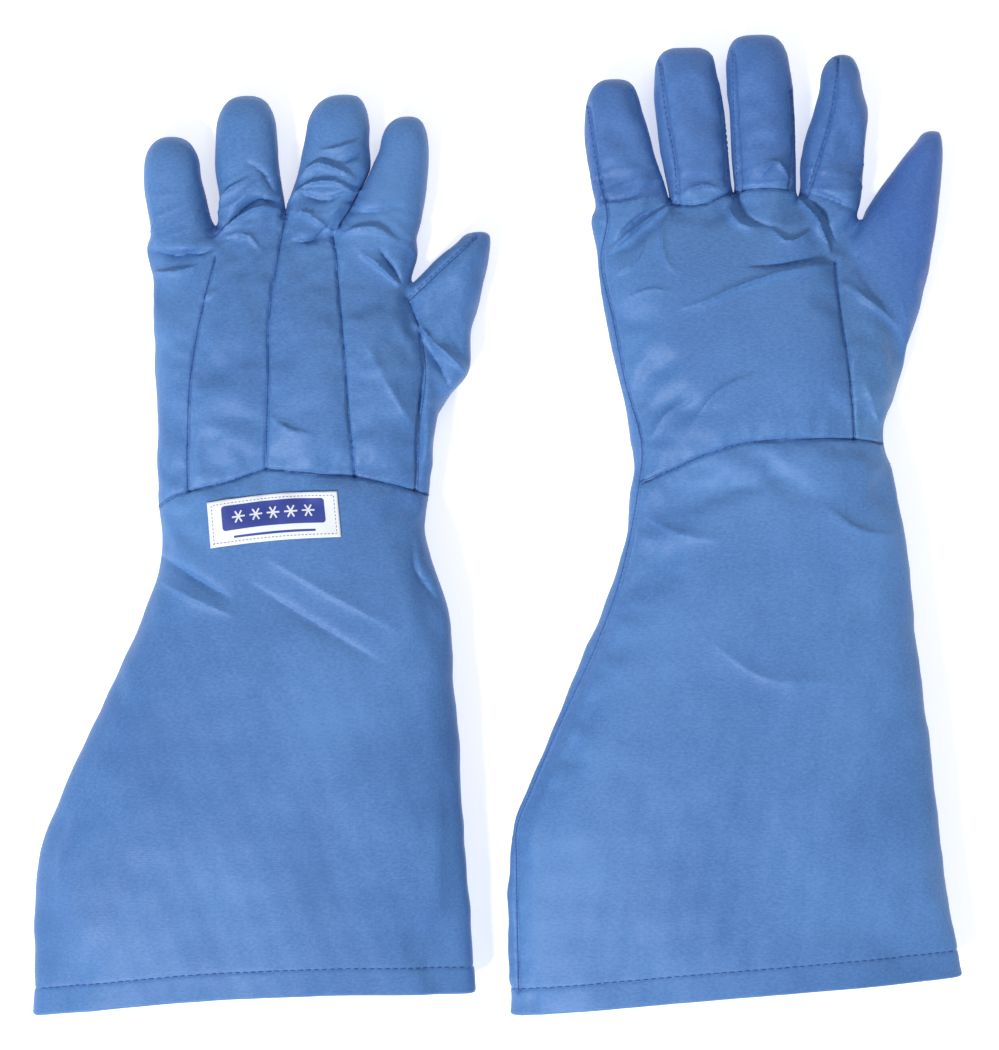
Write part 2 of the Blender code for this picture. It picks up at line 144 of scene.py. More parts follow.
# Seams: points across the plan from the wrist point, and the face they run on.
seams = {
    "left": {
        "backLittle": ("top", [(-39, 127), (-45, 101), (-51, 66), (-53, 28), (-53, 5)]),
        "backRing": ("top", [(-3, 150), (-6, 130), (-10, 98), (-11, 60), (-12, 16)]),
        "backMiddle": ("top", [(22, 138), (25, 115), (28, 84), (31, 47), (34, 13)]),
        "indexSide": ("top", [(61, 104), (66, 92), (70, 69), (67, 36), (66, 5)]),
        "wristBack": ("top", [(-76, -9), (-62, 2), (-53, 5), (-32, 10), (-12, 16), (10, 14), (34, 13),
                              (51, 9), (66, 5), (78, 1)]),
        "thumbEdge": ("top", [(60, 105), (79, 122), (96, 138)]),
        "wristPalm": ("under", [(-78, 0), (0, 3), (78, 0)]),
        "palmThumb": ("under", [(50, 104), (50, 50), (52, 2)]),
    },
    "right": {
        "outerSide": ("top", [(-84, 147), (-80, 129), (-83, 107), (-77, 75), (-71, 44), (-62, 5), (-64, -13),
                              (-67, -32), (-75, -65), (-86, -94), (-102, -129), (-118, -166), (-127, -190),
                              (-127, -205), (-126, -272)]),
        "littleEdge": ("top", [(-90, 186), (-87, 165), (-84, 147)]),
        "thumbBall": ("top", [(38, 105), (40, 82), (44, 52), (46, 36), (48, 13)]),
        "wristPalm": ("top", [(-63, -9), (-43, -1), (-14, 10), (22, 13), (48, 13), (74, 9)]),
        "ringBase": ("top", [(-46, 135), (-34, 134), (-21, 138), (-13, 142)]),
        "middleBase": ("top", [(-13, 142), (2, 143), (16, 142)]),
        "ringInner": ("top", [(-53, 210), (-49, 178), (-45, 155), (-44, 136)]),
        "ringOuter": ("top", [(-20, 189), (-17, 166), (-17, 147)]),
        "middleInner": ("top", [(-15, 215), (-14, 182), (-12, 144)]),
        "middleOuter": ("top", [(16, 194), (18, 166), (16, 144)]),
        "indexEdge": ("top", [(40, 211), (35, 178), (27, 152), (23, 140)]),
        "wristBack": ("under", [(-78, 0), (0, 3), (78, 0)]),
        "backLittle": ("under", [(-40, 126), (-46, 90), (-52, 4)]),
        "backRing": ("under", [(-8, 136), (-10, 90), (-12, 6)]),
        "backMiddle": ("under", [(27, 134), (30, 90), (33, 4)]),
    },
}


# small helpers

def smoothed(stations, at):
    # Catmull-Rom through the stations, so that an edge has no corners
    table = np.array(stations, float)
    key = table[:, 0]
    at = np.clip(at, key[0], key[-1])
    i = np.clip(np.searchsorted(key, at, side="right") - 1, 0, len(key) - 2)
    slopes = np.gradient(table[:, 1:], key, axis=0)
    width = (key[i + 1] - key[i])[:, None]
    u = ((at - key[i]) / (key[i + 1] - key[i]))[:, None]
    a, b = table[i, 1:], table[i + 1, 1:]
    h00 = 2 * u**3 - 3 * u**2 + 1
    h10 = u**3 - 2 * u**2 + u
    h01 = 3 * u**2 - 2 * u**3
    h11 = u**3 - u**2
    return h00 * a + h10 * width * slopes[i] + h01 * b + h11 * width * slopes[i + 1]


def ringPoints(count, power):
    angle = np.linspace(0, 2 * math.pi, count, endpoint=False)
    c, s = np.cos(angle), np.sin(angle)
    return np.sign(c) * np.abs(c) ** (2 / power), np.sign(s) * np.abs(s) ** (2 / power)


def loft(rings):
    # closed skin through equal rings, with a fan on both ends
    rings = np.array(rings)
    n, k = rings.shape[:2]
    points = rings.reshape(-1, 3)
    faces = []
    for i in range(n - 1):
        for j in range(k):
            a, b = i * k + j, i * k + (j + 1) % k
            faces.append((a, b, b + k, a + k))
    points = np.vstack([points, rings[0].mean(0), rings[-1].mean(0)])
    for j in range(k):
        faces.append(((j + 1) % k, j, n * k))
        faces.append(((n - 1) * k + j, (n - 1) * k + (j + 1) % k, n * k + 1))
    return points, faces


def meshObject(name, points, faces):
    mesh = bpy.data.meshes.new(name)
    mesh.from_pydata([tuple(p) for p in points], [], [tuple(int(i) for i in f) for f in faces])
    mesh.update()
    obj = bpy.data.objects.new(name, mesh)
    scene.collection.objects.link(obj)
    return obj


def evaluated(obj, name):
    graph = bpy.context.evaluated_depsgraph_get()
    mesh = bpy.data.meshes.new_from_object(obj.evaluated_get(graph), depsgraph=graph)
    mesh.name = name
    return mesh


def arrays(mesh):
    mesh.calc_loop_triangles()
    points = np.empty(len(mesh.vertices) * 3)
    mesh.vertices.foreach_get("co", points)
    tris = np.empty(len(mesh.loop_triangles) * 3, np.int64)
    mesh.loop_triangles.foreach_get("vertices", tris)
    return points.reshape(-1, 3), tris.reshape(-1, 3)


def uniqueEdges(tris):
    # every edge once, and for each triangle the numbers of its three edges
    a = np.concatenate([tris[:, 0], tris[:, 1], tris[:, 2]])
    b = np.concatenate([tris[:, 1], tris[:, 2], tris[:, 0]])
    base = 4_000_000  # more than the number of points
    key, back = np.unique(np.minimum(a, b) * base + np.maximum(a, b), return_inverse=True)
    return np.column_stack([key // base, key % base]), back.reshape(3, -1).T


def relaxed(points, tris, rounds, weight, share=0.5):
    # Laplacian smoothing, per-vertex weight
    edges, _ = uniqueEdges(tris)
    a, b = edges[:, 0], edges[:, 1]
    count = np.bincount(a, minlength=len(points)) + np.bincount(b, minlength=len(points))
    points = points.copy()
    for _ in range(rounds):
        total = np.zeros_like(points)
        for k in range(3):
            total[:, k] = np.bincount(a, points[b, k], len(points))
            total[:, k] += np.bincount(b, points[a, k], len(points))
        middle = total / count[:, None]
        points += (middle - points) * (share * weight)[:, None]
    return points


def normalsOf(points, tris):
    p = points[tris]
    face = np.cross(p[:, 1] - p[:, 0], p[:, 2] - p[:, 0])
    result = np.zeros_like(points)
    for k in range(3):
        for c in range(3):
            result[:, k] += np.bincount(tris[:, c], face[:, k], len(points))
    length = np.linalg.norm(result, axis=1)
    return result / np.maximum(length, 1e-12)[:, None]


def toLine(xy, line):
    # signed distance to a polyline (left of it positive), share along it, and whether beyond its ends
    line = np.array(line, float)
    best = np.full(len(xy), 1e9)
    signed = np.zeros(len(xy))
    along = np.zeros(len(xy))
    beyond = np.zeros(len(xy), bool)
    lengths = np.linalg.norm(np.diff(line, axis=0), axis=1)
    total = lengths.sum()
    before = 0.0
    for i in range(len(line) - 1):
        a, d = line[i], line[i + 1] - line[i]
        rel = xy - a
        raw = (rel @ d) / (d @ d)
        u = np.clip(raw, 0, 1)
        off = rel - u[:, None] * d
        dist = np.hypot(off[:, 0], off[:, 1])
        side = np.sign(d[0] * rel[:, 1] - d[1] * rel[:, 0])
        near = dist < best
        best[near] = dist[near]
        signed[near] = (dist * side)[near]
        along[near] = ((before + u * lengths[i]) / total)[near]
        past = np.zeros(len(xy), bool)
        if i == 0:
            past |= raw < 0
        if i == len(line) - 2:
            past |= raw > 1
        beyond[near] = past[near]
        before += lengths[i]
    return signed, along, beyond


def curved(line, step=6.0):
    # the seam's points joined by a smooth curve
    line = np.array(line, float)
    length = np.r_[0, np.cumsum(np.linalg.norm(np.diff(line, axis=0), axis=1))]
    if len(line) < 3:
        at = np.linspace(0, length[-1], max(2, int(length[-1] / step)))
        return np.column_stack([np.interp(at, length, line[:, k]) for k in range(2)])
    at = np.linspace(0, length[-1], max(3, int(length[-1] / step)))
    return smoothed(np.column_stack([length, line]), at)


def cutAlong(points, tris, field, allowed, snap=0.16):
    # splits triangles where field crosses zero, so that a seam gets a clean edge
    far = ~(allowed[tris].any(1) & (field[tris].min(1) < 0) & (field[tris].max(1) > 0))
    rest, tris = tris[far], tris[~far]
    edges, back = uniqueEdges(tris)
    field = field.copy()
    points = points.copy()
    a, b = edges[:, 0], edges[:, 1]
    crossing = (field[a] * field[b] < 0) & allowed[a] & allowed[b]
    share = np.where(crossing, field[a] / np.where(crossing, field[a] - field[b], 1), 0.5)
    for end, near in ((a, share < snap), (b, share > 1 - snap)):
        hit = np.flatnonzero(crossing & near)
        where = points[a[hit]] + share[hit, None] * (points[b[hit]] - points[a[hit]])
        points[end[hit]] = where
        field[end[hit]] = 0
    crossing = (field[a] * field[b] < 0) & allowed[a] & allowed[b]
    hit = np.flatnonzero(crossing)
    if not len(hit):
        return points, np.vstack([rest, tris])
    share = field[a[hit]] / (field[a[hit]] - field[b[hit]])
    added = points[a[hit]] + share[:, None] * (points[b[hit]] - points[a[hit]])
    middle = np.full(len(edges), -1)
    middle[hit] = len(points) + np.arange(len(hit))
    points = np.vstack([points, added])
    cut = middle[back]
    number = (cut >= 0).sum(1)
    result = [rest, tris[number == 0]]
    for k in range(3):
        one = (number == 1) & (cut[:, k] >= 0)
        v, m = tris[one], cut[one, k]
        p, q, r = v[:, k], v[:, (k + 1) % 3], v[:, (k + 2) % 3]
        result += [np.column_stack([p, m, r]), np.column_stack([m, q, r])]
        two = (number == 2) & (cut[:, k] < 0)
        v = tris[two]
        p, q, r = v[:, k], v[:, (k + 1) % 3], v[:, (k + 2) % 3]
        m1, m2 = cut[two, (k + 1) % 3], cut[two, (k + 2) % 3]
        result += [np.column_stack([r, m2, m1]), np.column_stack([p, q, m1]), np.column_stack([p, m1, m2])]
    return points, np.vstack(result)


# the padded solids

def bodySolid(glove):
    table = glove["body"]
    top = table[-1][0]
    bottom = -glove["sleeve"] - padding["past"]
    y = np.r_[np.arange(bottom, top - 16, 4.0), np.linspace(top - 16, top, 8)]
    edges = smoothed(table, y)
    cx, sz = ringPoints(96, padding["bodyShape"])
    rings = []
    for yy, (left, right, half) in zip(y, edges):
        shrink = math.sqrt(max(0.02, 1 - max(0.0, (yy - (top - 14)) / 14) ** 2))
        across = (right - left) / 2 * (0.86 + 0.14 * shrink)
        x = (left + right) / 2 + across * cx
        z = np.maximum(0.0, half - padding["pressed"] + half * shrink * sz)
        rings.append(np.column_stack([x, np.full_like(x, yy), z + glove["raised"]]))
    return loft(rings)


def digitEdges(digit, y):
    # left and right edge at each height, rounding off to the tip
    table = digit["edges"]
    last = table[-1][0]
    tipX, tipY = digit["tip"]
    y = np.asarray(y, float)
    edges = smoothed(table, np.minimum(y, last))
    u = np.clip((y - last) / (tipY - last), 0, 1)
    left = edges[:, 0] + (tipX - digit["flat"] / 2 - edges[:, 0]) * (1 - np.sqrt(1 - u**2.0))
    right = edges[:, 1] + (tipX + digit["flat"] / 2 - edges[:, 1]) * (1 - np.sqrt(1 - u**2.0))
    return left, right


def digitPlan(glove, name, xy):
    # how far a point is past the line where the digit bends, how far from its middle, its half width
    point, direction = glove["curls"][name][:2]
    a = math.radians(direction)
    t = (xy - np.array(point)) @ np.array((math.sin(a), math.cos(a)))
    digit = glove["digits"][name]
    left, right = digitEdges(digit, np.clip(xy[:, 1], digit["edges"][0][0], digit["tip"][1]))
    return t, xy[:, 0] - (left + right) / 2, (right - left) / 2


def digitSolid(glove, name):
    digit = glove["digits"][name]
    first, last, tip = digit["edges"][0][0], digit["edges"][-1][0], digit["tip"][1]
    half = digit["half"]
    y = np.r_[np.arange(first, last, 3.0), last + (tip - last) * np.sin(np.linspace(0, 1, 12) * math.pi / 2)]
    left, right = digitEdges(digit, y)
    thin = 1 if name == "thumb" else padding["thin"]
    cx, sz = ringPoints(48, padding["digitShape"])
    rings = []
    for yy, a, b in zip(y, left, right):
        ending = max(0.0, 1 - (tip - yy) / 20)
        h = half * max(0.06, 1 - ending ** 2.2) ** 0.5
        w = max(0.5, (b - a) / 2 * thin)
        z = np.maximum(0.0, half + 0.3 + h * sz)
        rings.append(np.column_stack([(a + b) / 2 + w * cx, np.full(48, yy), z + glove["raised"]]))
    return loft(rings)


def webSolid(glove, x, y, across, along, half=11.0):
    lat = np.linspace(-math.pi / 2 + 0.05, math.pi / 2 - 0.05, 12)
    cx, sz = ringPoints(32, 2.2)
    rings = []
    for a in lat:
        r = math.cos(a)
        z = half + 1.5 + half * r * sz
        height = np.full(32, y + along * math.sin(a))
        rings.append(np.column_stack([x + across * r * cx, height, z + glove["raised"]]))
    return loft(rings)


def joined(glove, voxel, name):
    # hand, cuff, digits and the webs between them as one skin
    parts = [bodySolid(glove)] + [digitSolid(glove, d) for d in glove["digits"]]
    parts += [webSolid(glove, *web) for web in glove["webs"]]
    points, faces, first = [], [], 0
    for p, f in parts:
        points.append(p)
        faces += [tuple(i + first for i in face) for face in f]
        first += len(p)
    obj = meshObject(name, np.vstack(points) * mm, faces)
    remesh = obj.modifiers.new("remesh", "REMESH")
    remesh.mode = "VOXEL"
    remesh.voxel_size = voxel * mm
    mesh = evaluated(obj, name)
    bpy.data.objects.remove(obj)
    return mesh


# cloth simulation of the padding

puffing = {
    "voxel": 5.0, "pressure": 4.0, "frames": 20, "most": 3.0, "sideways": 0.35,
    "quality": 5, "mass": 0.3, "stretch": 18, "bend": 0.6, "shrink": -0.05,
}


def puffed(glove, side):
    # coarse skin blown up by its padding, held at the seams: displacement per coarse vertex
    mesh = joined(glove, puffing["voxel"], side + "Coarse")
    obj = bpy.data.objects.new(side + "Coarse", mesh)
    scene.collection.objects.link(obj)
    before, _ = arrays(mesh)
    xy = before[:, :2] / mm
    pins = np.zeros(len(before))
    for face, line in seams[side].values():
        far = toLine(xy, line)[0]
        onFace = (before[:, 2] / mm > 14) == (face == "top")
        pins[(np.abs(far) < 3.2) & onFace] = 1
    pins[before[:, 2] / mm < glove["raised"] + 1.0] = 1
    group = obj.vertex_groups.new(name="held")
    for i in np.flatnonzero(pins):
        group.add([int(i)], 1.0, "REPLACE")
    cloth = obj.modifiers.new("cloth", "CLOTH")
    cloth.settings.quality = puffing["quality"]
    cloth.settings.mass = puffing["mass"]
    cloth.settings.tension_stiffness = puffing["stretch"]
    cloth.settings.compression_stiffness = puffing["stretch"]
    cloth.settings.bending_stiffness = puffing["bend"]
    cloth.settings.shrink_min = puffing["shrink"]
    cloth.settings.use_pressure = True
    cloth.settings.uniform_pressure_force = puffing["pressure"]
    cloth.settings.vertex_group_mass = "held"
    cloth.settings.effector_weights.gravity = 0
    cloth.collision_settings.use_collision = False
    cloth.point_cache.frame_start = 1
    cloth.point_cache.frame_end = puffing["frames"]
    for f in range(1, puffing["frames"] + 1):
        scene.frame_set(f)
    graph = bpy.context.evaluated_depsgraph_get()
    after, _ = arrays(obj.evaluated_get(graph).to_mesh())
    scene.frame_set(1)
    moved = (after - before) / mm
    size = np.linalg.norm(moved, axis=1)
    moved *= (np.minimum(size, puffing["most"]) / np.maximum(size, 1e-6))[:, None]
    moved[:, :2] *= puffing["sideways"]
    bpy.data.objects.remove(obj)
    print("cloth", side, len(before), "vertices, mean move", round(float(size.mean()), 2), "mm")
    return before / mm, moved


def carried(points, coarse, moved):
    tree = KDTree(len(coarse))
    for i, p in enumerate(coarse):
        tree.insert(p, i)
    tree.balance()
    result = np.zeros_like(points)
    for i, p in enumerate(points):
        found = tree.find_n(p, 6)
        weights = [1 / (d * d + 4) for _, _, d in found]
        total = sum(weights)
        for (_, k, _), w in zip(found, weights):
            result[i] += moved[k] * (w / total)
    return result


# folds

# Each fold: points, reach to each side (mm), height (+ ridge, - valley), ledge (left side higher)
folds = {
    "left": [
        # ring finger's base
        ([(-40, 136), (-35, 140), (-25, 148), (-11, 153), (-4, 151)], 3.2, 1.5, -0.7),
        ([(-38, 141), (-31, 147), (-16, 157), (-5, 152)], 3.2, -1.9, 0.5),
        ([(-38, 150), (-34, 160), (-28, 164), (-20, 168)], 2.8, 1.2, -0.5),
        ([(-36, 136), (-24, 138), (-14, 128)], 3.0, 0.9, 0.4),
        ([(-24, 176), (-14, 171), (-8, 160)], 3.5, -0.9, 0.3),
        # little finger's base
        ([(-75, 131), (-57, 128), (-38, 132)], 4.2, -1.9, 0.8),
        ([(-74, 120), (-63, 119), (-48, 122)], 3.0, 1.1, -0.4),
        # middle finger's cross folds
        ([(3, 166), (15, 175), (24, 172), (34, 167)], 2.8, 1.5, -0.5),
        ([(0, 157), (9, 164), (24, 165), (34, 159)], 2.8, 1.4, -0.5),
        ([(5, 160), (17, 156), (30, 160)], 2.8, -1.0, 0.3),
        ([(3, 152), (12, 146), (22, 139)], 3.0, 1.1, 0.5),
        ([(0, 135), (12, 135), (21, 144)], 3.2, -1.6, 0.5),
        ([(14, 182), (26, 183), (38, 188)], 3.0, 0.9, -0.4),
        ([(24, 176), (32, 177), (40, 182)], 2.6, -1.2, 0.4),
        # index finger's base
        ([(26, 138), (43, 142), (56, 135)], 4.0, 1.0, -0.5),
        ([(30, 151), (44, 150), (60, 154)], 4.5, -0.9, 0.3),
        ([(36, 129), (47, 121), (57, 111)], 2.8, 1.5, 0.5),
        ([(46, 131), (52, 122), (58, 113)], 2.6, -1.5, 0.4),
        # thumb side
        ([(64, 93), (76, 80), (91, 66)], 3.0, 1.6, 0.7),
        ([(70, 82), (79, 68), (83, 58)], 3.5, -1.1, 0.4),
        ([(69, 66), (69, 40), (67, 8)], 3.0, -1.5, 0.5),
        # softer ones on the hand and below the wrist
        ([(37, 84), (51, 58), (65, 36)], 7.0, 0.7, 0.3),
        ([(-11, 45), (0, 37), (15, 34)], 5.0, 0.7, -0.3),
        ([(-46, 103), (-37, 109)], 3.5, 0.8, 0.3),
        ([(-72, -26), (-50, -38), (-28, -51)], 6.0, -1.3, 0.5),
        ([(-70, -40), (-48, -51), (-26, -60)], 7.0, 0.8, 0.3),
        ([(-22, -40), (14, -62), (52, -85)], 9.0, -0.7, 0.4),
        ([(-14, -28), (20, -48), (58, -68)], 9.0, 0.6, 0.3),
        ([(64, -18), (66, -34), (78, -54)], 6.0, -0.8, 0.4),
    ],
    "right": [
        # little finger's base
        ([(-79, 109), (-66, 121), (-47, 134)], 3.0, 1.6, 0.7),
        ([(-77, 114), (-66, 126), (-50, 135)], 3.2, -1.3, 0.5),
        # out of the top of the thumb's seam
        ([(38, 105), (25, 105), (7, 102), (-10, 102)], 3.2, -1.4, 0.5),
        ([(37, 103), (7, 97), (-14, 90), (-36, 81), (-46, 79)], 3.6, 1.2, -0.3),
        ([(36, 108), (26, 130), (17, 141)], 3.2, 1.4, 0.5),
        ([(40, 114), (31, 129), (22, 139)], 3.0, -1.0, 0.4),
        # out of the fork between ring and middle finger
        ([(-14, 143), (-10, 130), (-1, 125), (10, 122)], 3.2, -1.0, 0.4),
        ([(-14, 141), (-17, 130), (-12, 123), (-2, 121)], 3.2, 1.1, 0.4),
        ([(4, 122), (13, 114), (20, 117), (27, 123)], 3.2, 1.1, -0.4),
        ([(-47, 133), (-52, 118), (-50, 104), (-43, 96)], 3.2, 0.9, 0.3),
        ([(-70, 86), (-58, 90), (-46, 88)], 3.0, 0.4, -0.2),
        ([(-78, 96), (-66, 104), (-60, 116)], 3.0, 0.8, 0.3),
        # finger bases
        ([(24, 142), (37, 137), (51, 131)], 4.0, -1.1, 0.5),
        ([(-2, 147), (7, 156), (15, 147)], 3.0, 0.9, 0.3),
        ([(-40, 141), (-30, 144), (-20, 141)], 3.0, 0.7, 0.2),
        ([(-84, 137), (-68, 139), (-54, 146)], 3.6, -0.8, 0.3),
        # ball of the thumb
        ([(40, 95), (55, 82), (74, 69)], 4.0, 1.0, 0.6),
        ([(52, 42), (61, 19)], 4.0, 0.8, 0.3),
        # softer ones on the palm and below the wrist
        ([(-58, 12), (-49, 25), (-36, 34)], 5.5, 0.8, 0.3),
        ([(-39, 18), (-23, 38), (-2, 47)], 6.0, 0.8, -0.3),
        ([(-62, -26), (-46, -36), (-20, -40)], 8.0, 0.7, 0.3),
        ([(30, -20), (50, -34), (70, -36)], 8.0, 0.7, -0.3),
        ([(-30, -90), (0, -110), (40, -112)], 9.0, 0.6, 0.2),
    ],
}


def noise(points, size, seed):
    # soft value noise from a few rotated waves, the same on every run
    random = np.random.default_rng(seed)
    total = np.zeros(len(points))
    for _ in range(9):
        direction = random.normal(size=3)
        direction /= np.linalg.norm(direction)
        wave = size * random.uniform(0.7, 1.5)
        total += np.sin(points @ direction * (2 * math.pi / wave) + random.uniform(0, 6.28))
    return total / 9 ** 0.5


def smoothStep(x):
    x = np.clip(x, 0, 1)
    return x * x * (3 - 2 * x)


def fattened(glove, points):
    # fingers back to full width, never past the line halfway to the next one
    names = [d for d in glove["digits"] if d != "thumb"]
    plans = [digitPlan(glove, d, points[:, :2]) for d in names]
    outside = np.array([np.abs(s) - w for _, s, w in plans])
    order = np.argsort(outside, axis=0)
    index = np.arange(len(points))
    room = np.clip((outside[order[1], index] - outside[order[0], index]) / 2, 0, 50)
    result = points.copy()
    for k, (t, s, w) in enumerate(plans):
        mine = (order[0] == k) & (t > -25) & (np.abs(s) < w + 3)
        extra = np.minimum(np.abs(s) * (1 / padding["thin"] - 1), 0.9 * room)
        result[mine, 0] += (extra * smoothStep((t + 25) / 20) * np.sign(s))[mine]
    return result


def onTop(glove, points):
    return points[:, 2] > sideSeam + glove["raised"]


def hemHeight(glove, x):
    bow, middle, half = glove["hemBow"]
    return -(glove["sleeve"] + glove["hemSlope"] * x / 200) + bow * (1 - ((x - middle) / half) ** 2)


foldStrength = 2.6
fineFolds = 1.7
# short cross creases around the base of a digit, by height in mm
gathered = {
    "left": {"little": 0.5, "ring": 1.0, "middle": 1.2, "index": 0.7, "thumb": 0.3},
    "right": {"little": 0.6, "ring": 0.3, "middle": 0.4, "index": 0.7, "thumb": 0.35},
}
grooves = {"depth": 1.7, "reach": 0.8, "sink": 0.9, "sinkReach": 5.5, "pucker": 0.22, "puckerLength": 7.0}
hem = {"depth": 12.5, "roll": 1.5, "proud": 0.25, "facing": 14.0, "inset": 5.0}


def cutSeams(side, points, tris):
    glove = gloves[side]
    for face, line in seams[side].values():
        line = curved(line)
        for offset in (0, -0.8, 0.8, -2.2, 2.2):
            near = np.flatnonzero(
                (points[:, 0] > line[:, 0].min() - 8) & (points[:, 0] < line[:, 0].max() + 8)
                & (points[:, 1] > line[:, 1].min() - 8) & (points[:, 1] < line[:, 1].max() + 8)
            )
            field = np.full(len(points), 99.0)
            allowed = np.zeros(len(points), bool)
            signed, _, beyond = toLine(points[near, :2], line)
            field[near] = signed - offset
            allowed[near] = ~beyond & (np.abs(signed) < 6) & (onTop(glove, points[near]) == (face == "top"))
            points, tris = cutAlong(points, tris, field, allowed)
    for fold in folds[side]:
        line = curved(fold[0], 4.0)
        for offset in (0, 1.3, -1.3):
            signed, _, beyond = toLine(points[:, :2], line)
            allowed = ~beyond & (np.abs(signed) < 5) & onTop(glove, points)
            points, tris = cutAlong(points, tris, signed - offset, allowed)
    for height in (0.0, hem["depth"] - 1.0, hem["depth"], hem["depth"] + 1.0):
        field = points[:, 1] - hemHeight(glove, points[:, 0]) - height
        points, tris = cutAlong(points, tris, field, np.ones(len(points), bool))
    return points, tris


def dropUnused(points, tris):
    used = np.unique(tris)
    index = np.full(len(points), -1)
    index[used] = np.arange(len(used))
    return points[used], index[tris]


def shaped(side, points, tris):
    # grooves at the seams, folds, and the slight unevenness of padded cloth
    glove = gloves[side]
    normals = normalsOf(points, tris)
    top = onTop(glove, points)
    facing = smoothStep(np.abs(normals[:, 2]) / 0.45)
    xy = points[:, :2]
    lift = np.zeros(len(points))
    for face, line in seams[side].values():
        line = curved(line)
        signed, along, beyond = toLine(xy, line)
        far = np.abs(signed)
        on = (top == (face == "top")) & ~(beyond & (far > 3))
        fade = np.where(beyond, np.exp(-(far / 2.0) ** 2), 1)
        length = np.linalg.norm(np.diff(line, axis=0), axis=1).sum()
        dent = -grooves["depth"] * np.exp(-(far / grooves["reach"]) ** 2)
        dent -= grooves["sink"] * np.exp(-far / grooves["sinkReach"])
        wave = np.sin(along * length / grooves["puckerLength"] * 6.28 + np.sin(along * length / 11) * 2)
        pucker = grooves["pucker"] * wave * np.exp(-far / 3.5) * smoothStep(far / 1.5)
        lift += np.where(on & (far < 30), (dent + pucker) * fade * facing, 0)
    for line, reach, height, ledge in folds[side]:
        line = curved(line, 4.0)
        signed, along, beyond = toLine(xy, line)
        far = np.abs(signed)
        fade = np.sin(np.clip(along, 0.0, 1) * math.pi) ** 0.85 * np.where(beyond, 0, 1)
        sharp = np.exp(-(far / (reach * 0.42)) ** 1.2)
        broad = np.sign(signed) * (1 - np.exp(-far / 0.8)) * np.exp(-far / (reach * 1.6))
        lift += np.where(top & (far < 30), (height * sharp + ledge * broad) * fade * facing * foldStrength, 0)
    cuff = smoothStep((-points[:, 1] + 10) / 30)
    seed = 3 if side == "left" else 8
    soft = 0.55 * noise(points * (1, 0.6, 1), 46, seed) + 0.22 * noise(points, 17, seed + 20)
    lift += soft * (0.35 + 0.65 * cuff)
    for digit, height in gathered[side].items():
        t, s, w = digitPlan(glove, digit, xy)
        near = np.exp(-((t - 6) / 17) ** 2) * smoothStep((w + 4 - np.abs(s)) / 5) * top
        cross = np.column_stack([t, s * 0.33, points[:, 2] * 0.3])
        folded = np.exp(-np.abs(noise(cross, 13, seed + 80 + len(digit))) / 0.22)
        lift += fineFolds * height * near * (folded - 0.25) * facing
    aboveHem = points[:, 1] - hemHeight(glove, points[:, 0])
    lift += hem["proud"] * smoothStep((hem["depth"] + 0.3 - aboveHem) / 0.8)
    lift -= 0.45 * np.exp(-((aboveHem - hem["depth"]) / 0.9) ** 2)
    shapedPoints = points + normals * lift[:, None]
    floor = glove["raised"] + 0.02
    shapedPoints[:, 2] = np.maximum(shapedPoints[:, 2], floor)
    return shapedPoints


def skin(side):
    glove = gloves[side]
    points, tris = arrays(joined(glove, padding["voxel"], side + "Skin"))
    points = fattened(glove, points / mm)
    points = relaxed(points, tris, 8, np.ones(len(points)))
    points[:, 2] = np.maximum(points[:, 2], glove["raised"])
    coarse, moved = puffed(glove, side)
    points = points + carried(points, coarse, moved)
    points = relaxed(points, tris, 2, np.ones(len(points)))
    points, tris = cutSeams(side, points, tris)
    keep = (points[:, 1] - hemHeight(glove, points[:, 0]))[tris].mean(1) > 0
    points, tris = dropUnused(points, tris[keep])
    points = shaped(side, points, tris)
    print("skin", side, len(points), "points", len(tris), "triangles")
    return points, tris


# each face of the skin belongs to one named panel

def leftOf(xy, line):
    return toLine(xy, curved(line))[0] > 0


